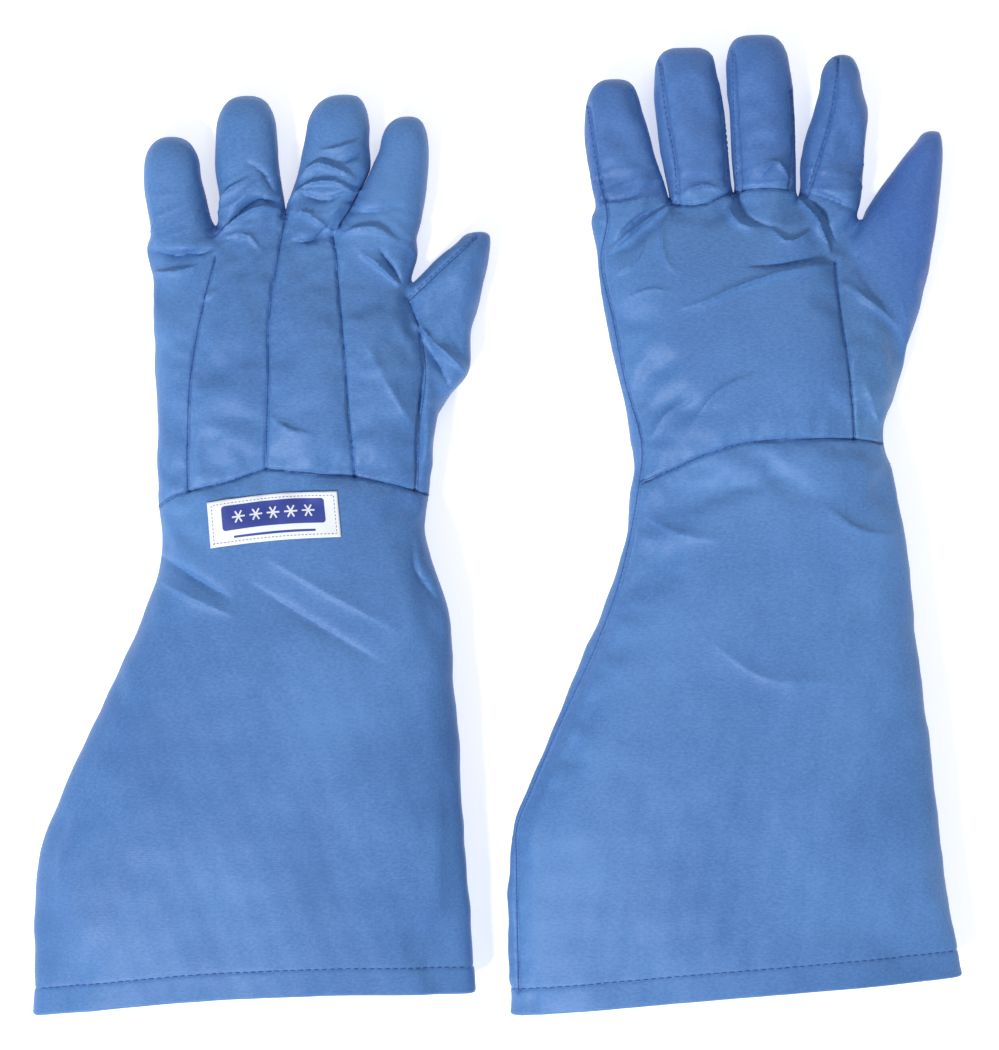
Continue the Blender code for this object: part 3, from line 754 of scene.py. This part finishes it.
def panels(side, points, tris):
    glove = gloves[side]
    middle = points[tris].mean(1)
    xy = middle[:, :2]
    top = onTop(glove, middle)
    backSide = top == glove["backUp"]
    # seams run from the fingers down to the wrist, so "left of" is the thumb's side
    backs = [seams[side][k][1] for k in ("backLittle", "backRing", "backMiddle")]
    towards = [leftOf(xy, line) for line in backs]
    names = np.full(len(tris), "BackPanelIndex", dtype=object)
    names[~towards[2]] = "BackPanelMiddle"
    names[~towards[1]] = "BackPanelRing"
    names[~towards[0]] = "BackPanelLittle"
    thumbSeam = seams[side]["palmThumb" if side == "left" else "thumbBall"][1]
    gusset = leftOf(xy, thumbSeam) & (xy[:, 1] < 112)
    names[~backSide] = "PalmPanel"
    names[~backSide & gusset] = "ThumbGusset"
    if side == "left":
        names[backSide & leftOf(xy, seams[side]["indexSide"][1]) & (xy[:, 1] < 104)] = "ThumbGusset"
    else:
        names[backSide & (xy[:, 0] > 66) & (xy[:, 1] < 104)] = "ThumbGusset"
    pairs = ("LittleRing", "RingMiddle", "MiddleIndex")
    for pair, (x, y, _, along) in zip(pairs, glove["webs"]):
        near = np.hypot(xy[:, 0] - x, (xy[:, 1] - y - along)) < 9
        names[near & (np.abs(middle[:, 2] - glove["raised"] - 12.5) < 8)] = "Fork" + pair
    best = np.full(len(tris), 6.0)
    for digit in glove["digits"]:
        t, s, w = digitPlan(glove, digit, xy)
        outside = np.abs(s) - w
        mine = (t > 0) & (outside < best)
        best[mine] = outside[mine]
        label = digit.capitalize()
        names[mine & backSide] = label + "BackPanel"
        names[mine & ~backSide] = label + "FrontPanel"
    wristTop = "wristBack" if side == "left" else "wristPalm"
    wristUnder = "wristPalm" if side == "left" else "wristBack"
    below = np.where(top, ~leftOf(xy, seams[side][wristTop][1]), ~leftOf(xy, seams[side][wristUnder][1]))
    names[below & (xy[:, 1] < 30)] = "CuffShell"
    names[(middle[:, 1] - hemHeight(glove, xy[:, 0])) < hem["depth"]] = "HemBand"
    return names


def place(glove, points):
    # glove plan to the shared frame, in metres
    shift = np.array((glove["wrist"][0], glove["wrist"][1], 0.0))
    return (points + shift) * mm


def pieceOf(name, glove, points, tris, normals, material):
    used = np.unique(tris)
    index = np.full(len(points), -1)
    index[used] = np.arange(len(used))
    mesh = bpy.data.meshes.new(name)
    mesh.vertices.add(len(used))
    mesh.vertices.foreach_set("co", place(glove, points[used]).ravel())
    mesh.loops.add(len(tris) * 3)
    mesh.loops.foreach_set("vertex_index", index[tris].ravel())
    mesh.polygons.add(len(tris))
    mesh.polygons.foreach_set("loop_start", np.arange(0, len(tris) * 3, 3))
    mesh.update(calc_edges=True)
    mesh.validate()
    mesh.shade_smooth()
    mesh.normals_split_custom_set_from_vertices([tuple(n) for n in normals[used]])
    mesh.materials.append(material)
    obj = bpy.data.objects.new(name, mesh)
    scene.collection.objects.link(obj)
    return obj


# materials

def linear(code):
    parts = [int(code[i:i + 2], 16) / 255 for i in (1, 3, 5)]
    return tuple(c / 12.92 if c <= 0.04045 else ((c + 0.055) / 1.055) ** 2.4 for c in parts) + (1.0,)


def node(tree, kind, links=None, **settings):
    made = tree.nodes.new(kind)
    for key, value in settings.items():
        if key.startswith("in_"):
            socket = key[3:]
            made.inputs[int(socket) if socket.isdigit() else socket.replace("_", " ")].default_value = value
        else:
            setattr(made, key, value)
    for socket, source in (links or {}).items():
        tree.links.new(source, made.inputs[socket])
    return made


def ramp(tree, source, stops):
    # colours spread along a value
    made = node(tree, "ShaderNodeValToRGB", {"Fac": source})
    band = made.color_ramp
    while len(band.elements) > 1:
        band.elements.remove(band.elements[0])
    for i, (at, colour) in enumerate(stops):
        element = band.elements[0] if i == 0 else band.elements.new(at)
        element.position = at
        element.color = colour
    return made.outputs[0]


def freshMaterial(name):
    material = bpy.data.materials.new(name)
    material.use_nodes = True
    tree = material.node_tree
    tree.nodes.clear()
    shader = node(tree, "ShaderNodeBsdfPrincipled")
    node(tree, "ShaderNodeOutputMaterial", {"Surface": shader.outputs[0]})
    return material, tree, shader


nylonLook = {
    "deep": "#4570ac", "mid": "#4e7bb7", "pale": "#5785c1",
    "thread": 0.9, "roughness": 0.5, "sheen": 0.09,
}


def shaded(tone, shade):
    red, green, blue, _ = linear(nylonLook[tone])
    return (red * shade, green * shade, blue * shade ** 0.5, 1)


def wovenNylon(name="woven nylon, water resistant", shade=1.0, fade=None):
    # close plain weave with a matte coating: even mid blue, soft sheen at the edges, faint grain
    material, tree, shader = freshMaterial(name)
    coords = node(tree, "ShaderNodeTexCoord")
    where = coords.outputs["Object"]
    # warp and weft at 0.5 mm in the cloth, drawn at 0.9 mm so that they show
    waves = 2 * math.pi / (nylonLook["thread"] * mm) / 20
    warp = node(tree, "ShaderNodeTexWave", {"Vector": where}, wave_type="BANDS", bands_direction="X",
                in_Scale=waves, in_Distortion=0.6)
    weft = node(tree, "ShaderNodeTexWave", {"Vector": where}, wave_type="BANDS", bands_direction="Y",
                in_Scale=waves, in_Distortion=0.6)
    weave = node(tree, "ShaderNodeMath", {0: warp.outputs["Fac"], 1: weft.outputs["Fac"]},
                 operation="MULTIPLY")
    along = node(tree, "ShaderNodeVectorMath", {0: where}, operation="MULTIPLY", in_1=(0.45, 1.0, 1.0))
    grain = node(tree, "ShaderNodeTexNoise", {"Vector": along.outputs[0]}, in_Scale=1100.0, in_Detail=2.0,
                 in_Roughness=0.5)
    cloud = node(tree, "ShaderNodeTexNoise", {"Vector": where}, in_Scale=16.0, in_Detail=3.0,
                 in_Roughness=0.5)
    blend = node(tree, "ShaderNodeMath", {0: grain.outputs["Fac"], 1: cloud.outputs["Fac"]}, operation="ADD")
    half = node(tree, "ShaderNodeMath", {0: blend.outputs[0]}, operation="MULTIPLY", in_1=0.5)
    # a shade below 1 darkens the whole colour, red and green more than blue: painted shade
    flat = 1.0 if fade else shade
    base = ramp(tree, half.outputs[0], [
        (0.36, shaded("deep", flat)), (0.5, shaded("mid", flat)), (0.64, shaded("pale", flat))])
    if fade:
        # painted shade that deepens along a line in the plan: a point (mm), its direction and its length
        (x, y), direction, span = fade
        a = math.radians(direction)
        along = node(tree, "ShaderNodeVectorMath", {0: where}, operation="DOT_PRODUCT",
                     in_1=(math.sin(a), math.cos(a), 0))
        start = (x * math.sin(a) + y * math.cos(a)) * mm
        amount = node(tree, "ShaderNodeMapRange", {"Value": along.outputs["Value"]},
                      interpolation_type="SMOOTHSTEP", in_1=start, in_2=start + span * mm, in_3=1.0,
                      in_4=shade)
        tint = node(tree, "ShaderNodeCombineXYZ", {0: amount.outputs[0], 1: amount.outputs[0]}, in_2=0.95)
        deepened = node(tree, "ShaderNodeVectorMath", {0: base, 1: tint.outputs[0]}, operation="MULTIPLY")
        base = deepened.outputs[0]
    tree.links.new(base, shader.inputs["Base Color"])
    crease = node(tree, "ShaderNodeTexNoise", {"Vector": where}, in_Scale=120.0, in_Detail=5.0,
                  in_Roughness=0.6, in_Distortion=0.4)
    fine = node(tree, "ShaderNodeBump", {"Height": weave.outputs[0]}, in_Strength=0.25, in_Distance=0.0002)
    rough = node(tree, "ShaderNodeBump", {"Height": crease.outputs["Fac"], "Normal": fine.outputs[0]},
                 in_Strength=0.12, in_Distance=0.0010)
    tree.links.new(rough.outputs[0], shader.inputs["Normal"])
    shine = node(tree, "ShaderNodeMapRange", {"Value": cloud.outputs["Fac"]},
                 in_3=nylonLook["roughness"] - 0.06, in_4=nylonLook["roughness"] + 0.08)
    tree.links.new(shine.outputs[0], shader.inputs["Roughness"])
    shader.inputs["Sheen Weight"].default_value = nylonLook["sheen"]
    shader.inputs["Sheen Roughness"].default_value = 0.45
    shader.inputs["Sheen Tint"].default_value = linear("#a9c6f2")
    shader.inputs["Specular IOR Level"].default_value = 0.35
    return material


def grained(name, colours, roughness, grain, bump=None):
    # one noise drives the colour and, where given, a bump of this strength and depth
    material, tree, shader = freshMaterial(name)
    where = node(tree, "ShaderNodeTexCoord").outputs["Object"]
    spread = node(tree, "ShaderNodeTexNoise", {"Vector": where}, **grain).outputs["Fac"]
    stops = [(at, linear(code)) for at, code in colours]
    tree.links.new(ramp(tree, spread, stops), shader.inputs["Base Color"])
    if bump:
        raised = node(tree, "ShaderNodeBump", {"Height": spread}, in_Strength=bump[0], in_Distance=bump[1])
        tree.links.new(raised.outputs[0], shader.inputs["Normal"])
    shader.inputs["Roughness"].default_value = roughness
    return material, shader


labelSize = {
    "width": 67.0, "height": 23.5, "thick": 0.45, "lift": 0.35,
    "turn": {"left": 5.0, "right": -6.0}, "left": (-7.4, -9.8), "right": (0.0, -14.0),
}
frostStars = {"count": 5, "pitch": 9.0, "arm": 3.3, "line": 0.42, "up": 2.2}


def labelLook():
    # satin-woven polyester label: white ground, a dark blue block with plain frost stars, a thin rule
    material, tree, shader = freshMaterial("satin woven polyester label")
    uv = node(tree, "ShaderNodeUVMap", uv_map="label").outputs[0]
    parts = node(tree, "ShaderNodeSeparateXYZ", {0: uv})

    def maths(operation, first, second):
        made = node(tree, "ShaderNodeMath", operation=operation)
        for i, value in enumerate((first, second)):
            if isinstance(value, (int, float)):
                made.inputs[i].default_value = value
            else:
                tree.links.new(value, made.inputs[i])
        return made.outputs[0]

    # measured in millimetres from the label's middle
    x = maths("MULTIPLY", maths("SUBTRACT", parts.outputs[0], 0.5), labelSize["width"])
    y = maths("MULTIPLY", maths("SUBTRACT", parts.outputs[1], 0.5), labelSize["height"])

    def box(cx, cy, halfX, halfY, corner):
        dx = maths("ABSOLUTE", maths("SUBTRACT", x, cx), 0)
        dx = maths("MAXIMUM", maths("SUBTRACT", dx, halfX - corner), 0)
        dy = maths("ABSOLUTE", maths("SUBTRACT", y, cy), 0)
        dy = maths("MAXIMUM", maths("SUBTRACT", dy, halfY - corner), 0)
        far = maths("SQRT", maths("ADD", maths("MULTIPLY", dx, dx), maths("MULTIPLY", dy, dy)), 0)
        return maths("LESS_THAN", far, corner)

    up, pitch = frostStars["up"], frostStars["pitch"]
    block = box(0, up, 26.5, 6.4, 1.8)
    rule = box(0, -7.6, 21.0, 0.5, 0.3)
    inside = maths("LESS_THAN", maths("ABSOLUTE", x, 0), frostStars["count"] * pitch / 2)
    cell = maths("SUBTRACT", maths("MODULO", maths("ADD", x, 10.5 * pitch), pitch), pitch / 2)
    tall = maths("SUBTRACT", y, up)
    star = None
    for angle in (0, 60, 120):
        a = math.radians(angle)
        across = maths("ADD", maths("MULTIPLY", cell, -math.sin(a)), maths("MULTIPLY", tall, math.cos(a)))
        along = maths("ADD", maths("MULTIPLY", cell, math.cos(a)), maths("MULTIPLY", tall, math.sin(a)))
        arm = maths("MULTIPLY", maths("LESS_THAN", maths("ABSOLUTE", across, 0), frostStars["line"]),
                    maths("LESS_THAN", maths("ABSOLUTE", along, 0), frostStars["arm"]))
        star = arm if star is None else maths("MAXIMUM", star, arm)
    star = maths("MULTIPLY", star, inside)
    inked = maths("MAXIMUM", maths("SUBTRACT", block, star), rule)
    weave = node(tree, "ShaderNodeTexWave", {"Vector": uv}, wave_type="BANDS", bands_direction="Y",
                 in_Scale=16.0, in_Distortion=0.4)
    cloth = ramp(tree, weave.outputs["Fac"], [(0.0, linear("#dfe6ef")), (1.0, linear("#f6f9fd"))])
    ink = ramp(tree, weave.outputs["Fac"], [(0.0, linear("#24378f")), (1.0, linear("#2f449f"))])
    colour = node(tree, "ShaderNodeMix", {0: inked, 6: cloth, 7: ink}, data_type="RGBA")
    tree.links.new(colour.outputs[2], shader.inputs["Base Color"])
    bump = node(tree, "ShaderNodeBump", {"Height": weave.outputs["Fac"]}, in_Strength=0.3, in_Distance=0.0002)
    tree.links.new(bump.outputs[0], shader.inputs["Normal"])
    shader.inputs["Roughness"].default_value = 0.5
    shader.inputs["Sheen Weight"].default_value = 0.2
    return material


nylon = wovenNylon()
# a darker copy of the nylon on the palm side of the fingers and on the forks: painted shade
nylonPaintedShade = wovenNylon("woven nylon, darkened by painted shade", 0.79)
# the right thumb and its gusset darken gradually along the thumb: painted shade
nylonThumbPaintedShade = wovenNylon("woven nylon, painted shade deepening along the thumb", 0.74, ((182, 96), 55, 62))
thread, _ = grained(
    "polyester sewing thread", [(0.35, "#27498f"), (0.65, "#3a62ad")], 0.5,
    {"in_Scale": 900.0, "in_Detail": 2.0}, (0.4, 0.0002))
# soft and darker, without shine
lining, nap = grained(
    "brushed tricot lining", [(0.3, "#26406f"), (0.7, "#3c5c96")], 0.92,
    {"in_Scale": 420.0, "in_Detail": 5.0, "in_Roughness": 0.7}, (0.5, 0.0006))
nap.inputs["Sheen Weight"].default_value = 0.4
labelCloth = labelLook()
print("materials made")


def bendWithHand(obj):
    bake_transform(obj)


def bendWithDigit(obj):
    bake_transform(obj)


def stitchTree():
    # thread seen from above a seam: short rounded stitches, evenly spaced along a line
    tree = bpy.data.node_groups.new("stitches", "GeometryNodeTree")
    face = tree.interface
    face.new_socket("Path", in_out="INPUT", socket_type="NodeSocketGeometry")
    for name in ("Pitch", "Length", "Thickness"):
        face.new_socket(name, in_out="INPUT", socket_type="NodeSocketFloat")
    face.new_socket("Thread", in_out="INPUT", socket_type="NodeSocketMaterial")
    face.new_socket("Geometry", in_out="OUTPUT", socket_type="NodeSocketGeometry")
    given = node(tree, "NodeGroupInput").outputs
    line = node(tree, "GeometryNodeMeshToCurve", {"Mesh": given["Path"]})
    spaced = node(tree, "GeometryNodeResampleCurve", {"Curve": line.outputs[0], "Length": given["Pitch"]},
                  mode="LENGTH")
    bead = node(tree, "GeometryNodeMeshUVSphere", in_Segments=6, in_Rings=4, in_Radius=0.5)
    thick = given["Thickness"]
    size = node(tree, "ShaderNodeCombineXYZ", {0: given["Length"], 1: thick, 2: thick})
    stitch = node(tree, "GeometryNodeTransform", {"Geometry": bead.outputs[0], "Scale": size.outputs[0]})
    tangent = node(tree, "GeometryNodeInputTangent")
    turn = node(tree, "FunctionNodeAlignRotationToVector", {"Vector": tangent.outputs[0]}, axis="X")
    many = node(tree, "GeometryNodeInstanceOnPoints", {
        "Points": spaced.outputs[0], "Instance": stitch.outputs[0], "Rotation": turn.outputs[0]})
    real = node(tree, "GeometryNodeRealizeInstances", {"Geometry": many.outputs[0]})
    painted = node(tree, "GeometryNodeSetMaterial",
                   {"Geometry": real.outputs[0], "Material": given["Thread"]})
    node(tree, "NodeGroupOutput", {"Geometry": painted.outputs[0]})
    return tree


stitching = {"pitch": 2.9, "length": 2.1, "thick": 0.5, "lift": 0.1}
labelStitching = {"pitch": 1.9, "length": 1.35, "thick": 0.32}
hemStitching = {"pitch": 4.0, "length": 3.1, "thick": 0.6}
seamThreadAndShade = {"pitch": 2.0, "length": 2.5, "thick": 0.5}  # nearly unbroken dark thread along the join: real thread, and painted shade of the seam's valley
topStitched = ("littleEdge", "ringInner", "ringOuter", "middleInner", "middleOuter", "indexEdge", "thumbEdge")
stitches = stitchTree()


def stitchRow(name, paths, look):
    # paths in metres, in the shared frame
    points, edges = [], []
    for path in paths:
        edges += [(len(points) + i, len(points) + i + 1) for i in range(len(path) - 1)]
        points += [tuple(p) for p in path]
    mesh = bpy.data.meshes.new(name + "Path")
    mesh.from_pydata(points, edges, [])
    path = bpy.data.objects.new(name + "Path", mesh)
    scene.collection.objects.link(path)
    modifier = path.modifiers.new("stitches", "NODES")
    modifier.node_group = stitches
    values = {
        "Pitch": look["pitch"] * mm, "Length": look["length"] * mm, "Thickness": look["thick"] * mm,
        "Thread": thread,
    }
    for item in stitches.interface.items_tree:
        if item.name in values and item.in_out == "INPUT":
            modifier[item.identifier] = values[item.name]
    made = evaluated(path, name)
    bpy.data.objects.remove(path)
    made.shade_smooth()
    obj = bpy.data.objects.new(name, made)
    scene.collection.objects.link(obj)
    return obj


def onSurface(tree, xy, up, lift=0.1):
    # points of a plan line laid on the cloth, from above or from below
    found = []
    for x, y in xy:
        start, way = Vector((x, y, 200 if up else -60)), Vector((0, 0, -1 if up else 1))
        hit, normal, _, _ = tree.ray_cast(start, way)
        if hit is not None:
            found.append(np.array(hit) + np.array(normal) * lift)
    return found


def runs(glove, path):
    # the path cut where it passes from one body to another
    result = []
    for p in path:
        body = "hand"
        for digit in glove["digits"]:
            t, s, w = digitPlan(glove, digit, np.array([p[:2]]))
            if t[0] > 0 and abs(s[0]) < w[0] + 2:
                body = digit
        if result and result[-1][0] == body:
            result[-1][1].append(p)
        else:
            start = [result[-1][1][-1]] if result else []
            result.append((body, start + [p]))
    return [(body, points) for body, points in result if len(points) > 2]


def rim(tris):
    # the open end of the sleeve, as one ordered ring
    edges, back = uniqueEdges(tris)
    border = set(np.flatnonzero(np.bincount(back.ravel(), minlength=len(edges)) == 1).tolist())
    onward = {}
    for row, ends in zip(back, tris):
        for k in range(3):
            if row[k] in border:
                onward[int(ends[(k + 1) % 3])] = int(ends[k])
    ring = [next(iter(onward))]
    while len(ring) <= len(onward):
        step = onward[ring[-1]]
        if step == ring[0]:
            break
        ring.append(step)
    return np.array(ring)


def rolledHem(side, points, tris, normals):
    # the cloth turned in at the sleeve's end: a rounded fold and the facing inside it
    glove = gloves[side]
    ring = rim(tris)
    edge = points[ring]
    out = normals[ring] * (1, 0, 1)
    out /= np.linalg.norm(out, axis=1)[:, None]
    for _ in range(3):
        out = (out + np.roll(out, 1, 0) + np.roll(out, -1, 0)) / 3
    down = np.array((0.0, -1.0, 0.0))
    rows = [edge]
    for angle in (45, 90, 135, 180):
        a = math.radians(angle)
        rows.append(edge + hem["roll"] * (math.sin(a) * down - (1 - math.cos(a)) * out))
    for up, deep in ((5, 3.2), (10, 3.6), (hem["facing"], hem["inset"] + 0.8)):
        rows.append(edge - up * down - deep * out)
    n = len(ring)
    grid = np.array(rows)
    grid[:, :, 2] = np.clip(grid[:, :, 2], glove["raised"] + 0.05, None)
    faces = []
    for i in range(len(rows) - 1):
        for j in range(n):
            a, b = i * n + j, i * n + (j + 1) % n
            faces += [(a, b, b + n), (a, b + n, a + n)]
    skinPoints = grid.reshape(-1, 3)
    faces = np.array(faces)
    hemNormals = normalsOf(skinPoints, faces)
    if (hemNormals[:n] * out).sum(1).mean() < 0:
        faces = faces[:, ::-1]
        hemNormals = -hemNormals
    hemNormals[:n] = normals[ring]
    return pieceOf(side + "HemFold", glove, skinPoints, faces, hemNormals, nylon), ring


def sleeveLining(side):
    # the lining seen inside the sleeve, closed where it goes on into the hand
    glove = gloves[side]
    bottom = hemHeight(glove, 0) + 6
    y = np.r_[np.arange(bottom, -8, 6.0), -8]
    edges = smoothed(glove["body"], y)
    cx, sz = ringPoints(72, padding["bodyShape"])
    rings = []
    for yy, (left, right, half) in zip(y, edges):
        inset = hem["inset"]
        x = (left + right) / 2 + ((right - left) / 2 - inset * 1.4) * cx
        z = glove["raised"] + np.maximum(inset, half - padding["pressed"] + (half - inset) * sz)
        fade = smoothStep((-yy - 150) / 90)
        tilt = (hemHeight(glove, x) - hemHeight(glove, 0)) * fade
        rings.append(np.column_stack([x, np.full_like(x, yy) + tilt, z]))
    points, faces = loft(rings)
    faces = [f for f in faces if f[-1] != len(points) - 2]
    tris = []
    for f in faces:
        tris += [f[:3]] if len(f) == 3 else [(f[0], f[1], f[2]), (f[0], f[2], f[3])]
    tris = np.array(tris)[:, ::-1]
    used, tris = dropUnused(points, tris)
    return pieceOf(side + "CuffLining", glove, used, tris, normalsOf(used, tris), lining)


def sewnLabel(side, tree):
    # a woven cloth label lying on the cuff, slightly wavy
    glove = gloves[side]
    up = glove["backUp"]
    cx, cy = labelSize[side]
    a = math.radians(labelSize["turn"][side])
    columns, rows = 68, 24
    grid = []
    for j in range(rows + 1):
        for i in range(columns + 1):
            u, v = i / columns - 0.5, j / rows - 0.5
            bow = (1.6 if v > -0.3 else 1.2) * math.cos(u * math.pi)
            x, y = u * labelSize["width"], v * labelSize["height"] + bow
            grid.append((cx + x * math.cos(a) - y * math.sin(a), cy + x * math.sin(a) + y * math.cos(a)))
    laid = np.array(onSurface(tree, grid, up, labelSize["lift"]))
    wave = 0.25 * np.sin(np.arange(len(laid)) % (columns + 1) / 7.0)
    if up:
        laid[:, 2] += wave
    mesh = bpy.data.meshes.new(side + "Label")
    faces = []
    for j in range(rows):
        for i in range(columns):
            k = j * (columns + 1) + i
            quad = (k, k + 1, k + columns + 2, k + columns + 1)
            faces.append(quad if up else quad[::-1])
    mesh.from_pydata([tuple(p) for p in place(glove, laid)], [], faces)
    uv = mesh.uv_layers.new(name="label")
    for loop in mesh.loops:
        i, j = loop.vertex_index % (columns + 1), loop.vertex_index // (columns + 1)
        uv.data[loop.index].uv = (i / columns, j / rows)
    mesh.shade_smooth()
    mesh.materials.append(labelCloth)
    obj = bpy.data.objects.new(side + "Label", mesh)
    scene.collection.objects.link(obj)
    thick = obj.modifiers.new("cloth", "SOLIDIFY")
    thick.thickness = labelSize["thick"] * mm
    thick.offset = 1
    final = evaluated(obj, side + "Label")
    obj.modifiers.clear()
    obj.data = final
    obj.data.shade_smooth()
    inset = [(0.03, 0.09), (0.97, 0.09), (0.97, 0.91), (0.03, 0.91), (0.03, 0.09)]  # stitched round the edge
    path = []
    for (u0, v0), (u1, v1) in zip(inset[:-1], inset[1:]):
        for f in np.linspace(0, 1, 40):
            i, j = (u0 + (u1 - u0) * f) * columns, (v0 + (v1 - v0) * f) * rows
            k = int(round(j)) * (columns + 1) + int(round(i))
            path.append(laid[k] + np.array((0, 0, 0.55 if up else -0.5)))
    path = [p for i, p in enumerate(path) if i == 0 or np.linalg.norm(p - path[i - 1]) > 0.2]
    return obj, stitchRow(side + "LabelStitches", [place(glove, np.array(path))], labelStitching)


panelNodes = {
    "BackPanelLittle": ["back_panel_little"], "BackPanelRing": ["back_panel_ring"],
    "BackPanelMiddle": ["back_panel_middle"], "BackPanelIndex": ["back_panel_index"],
    "PalmPanel": ["palm_panel", "hand_liner"], "ThumbGusset": ["thumb_gusset"],
    "ForkLittleRing": ["fork_little_ring"], "ForkRingMiddle": ["fork_ring_middle"],
    "ForkMiddleIndex": ["fork_middle_index"], "CuffShell": ["cuff_shell", "cuff_insulation"],
    "HemBand": ["hem_band"],
}
for digit in ("thumb", "index", "middle", "ring", "little"):
    panelNodes[digit.capitalize() + "BackPanel"] = [digit + "_back_panel"]
    panelNodes[digit.capitalize() + "FrontPanel"] = [digit + "_front_panel", digit + "_liner"]

for side in ("left", "right"):
    glove = gloves[side]
    points, tris = skin(side)
    normals = normalsOf(points, tris)
    names = panels(side, points, tris)
    fold, ring = rolledHem(side, points, tris, normals)
    for name, cadNodes in panelNodes.items():
        chosen = names == name
        if not chosen.any():
            print("no faces for", side, name)
            continue
        # the fronts of the digits and the forks take the darker nylon with painted shade
        across = name.endswith("FrontPanel") or name.startswith("Fork")
        look = nylonPaintedShade if across else nylon
        # the right thumb takes the nylon with painted shade that deepens along it
        if side == "right" and name in ("ThumbGusset", "ThumbFrontPanel"):
            look = nylonThumbPaintedShade
        obj = pieceOf(side + name, glove, points, tris[chosen], normals, look)
        digit = next((d for d in glove["digits"] if name.startswith(d.capitalize())), None)
        if digit and name.endswith("Panel"):
            bendWithDigit(obj)
        elif name in ("CuffShell", "HemBand"):
            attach(obj, side + "_cuff")
        else:
            bendWithHand(obj)
        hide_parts(*[side + "_" + n for n in cadNodes])
    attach(fold, side + "_cuff")
    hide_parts(side + "_hem_band")
    tube = sleeveLining(side)
    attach(tube, side + "_cuff")
    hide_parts(side + "_cuff_lining")
    tree = BVHTree.FromPolygons([tuple(p) for p in points], [tuple(int(i) for i in f) for f in tris])
    rows = {}
    for name, (face, line) in seams[side].items():
        path = onSurface(tree, curved(line, 1.2), face == "top", stitching["lift"])
        for body, part in runs(glove, path):
            rows.setdefault((body, name in topStitched), []).append(place(glove, np.array(part)))
    for (body, shown), paths in rows.items():
        # seams that are not topstitched get the nearly unbroken thread, which also paints the shade in the
        # seam's valley
        kind = "TopStitches" if shown else "Stitches"
        row = stitchRow(side + body.capitalize() + kind, paths, stitching if shown else seamThreadAndShade)
        if body == "hand":
            bendWithHand(row)
        else:
            bendWithDigit(row)
    turnUp = []
    for up in (True, False):
        left, right = points[ring][:, 0].min() + 7, points[ring][:, 0].max() - 7
        xs = np.arange(left, right, 1.5)
        line = np.column_stack([xs, hemHeight(glove, xs) + hem["depth"]])
        turnUp.append(place(glove, np.array(onSurface(tree, line, up, 0.15))))
    row = stitchRow(side + "HemStitches", turnUp, hemStitching)
    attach(row, side + "_cuff")
    label, row = sewnLabel(side, tree)
    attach(label, side + "_cuff")
    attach(row, side + "_cuff")
    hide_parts(side + "_label")
    print("pieces", side, "done")


room = {"floor": 8, "floorGlow": 0.5, "surroundings": 0.42, "lens": 100, "sensor": 36}
eyeAt = (0.001, -0.0005, 1.535)
# name, place, size and power
lights = (("key", (-2.0, -2.95, 3.5), 0.7, 216), ("fill", (0.9, 1.9, 2.9), 2.0, 22))


def studio():
    # pale floor that glows a little, even surroundings, a key light from the lower left, a weak fill
    bpy.ops.mesh.primitive_plane_add(size=room["floor"], location=(0, 0, -0.0005))
    floor = bpy.context.object
    floor.name = "floor"
    material, shader = grained(
        "white paper sweep", [(0.3, "#fbfbfb"), (0.7, "#ffffff")], 0.9, {"in_Scale": 300.0, "in_Detail": 3.0})
    shader.inputs["Emission Color"].default_value = (1, 1, 1, 1)
    shader.inputs["Emission Strength"].default_value = room["floorGlow"]
    floor.data.materials.append(material)
    world = bpy.data.worlds.new("studio")
    scene.world = world
    world.use_nodes = True
    background = world.node_tree.nodes["Background"].inputs
    background[0].default_value = (1, 1, 1, 1)
    background[1].default_value = room["surroundings"]
    for name, at, size, power in lights:
        light = bpy.data.lights.new(name, "AREA")
        light.shape = "SQUARE"
        light.size = size
        light.energy = power
        lamp = bpy.data.objects.new(name, light)
        scene.collection.objects.link(lamp)
        lamp.location = at
        lamp.rotation_euler = (Vector((0, 0, 0)) - Vector(at)).to_track_quat("-Z", "Y").to_euler()
    camera = bpy.data.cameras.new("camera")
    camera.lens = room["lens"]
    camera.sensor_width = room["sensor"]
    eye = bpy.data.objects.new("camera", camera)
    scene.collection.objects.link(eye)
    eye.location = eyeAt
    eye.rotation_euler = (0, 0, 0)
    scene.camera = eye
    scene.view_settings.view_transform = "Standard"
    scene.view_settings.look = "None"


studio()
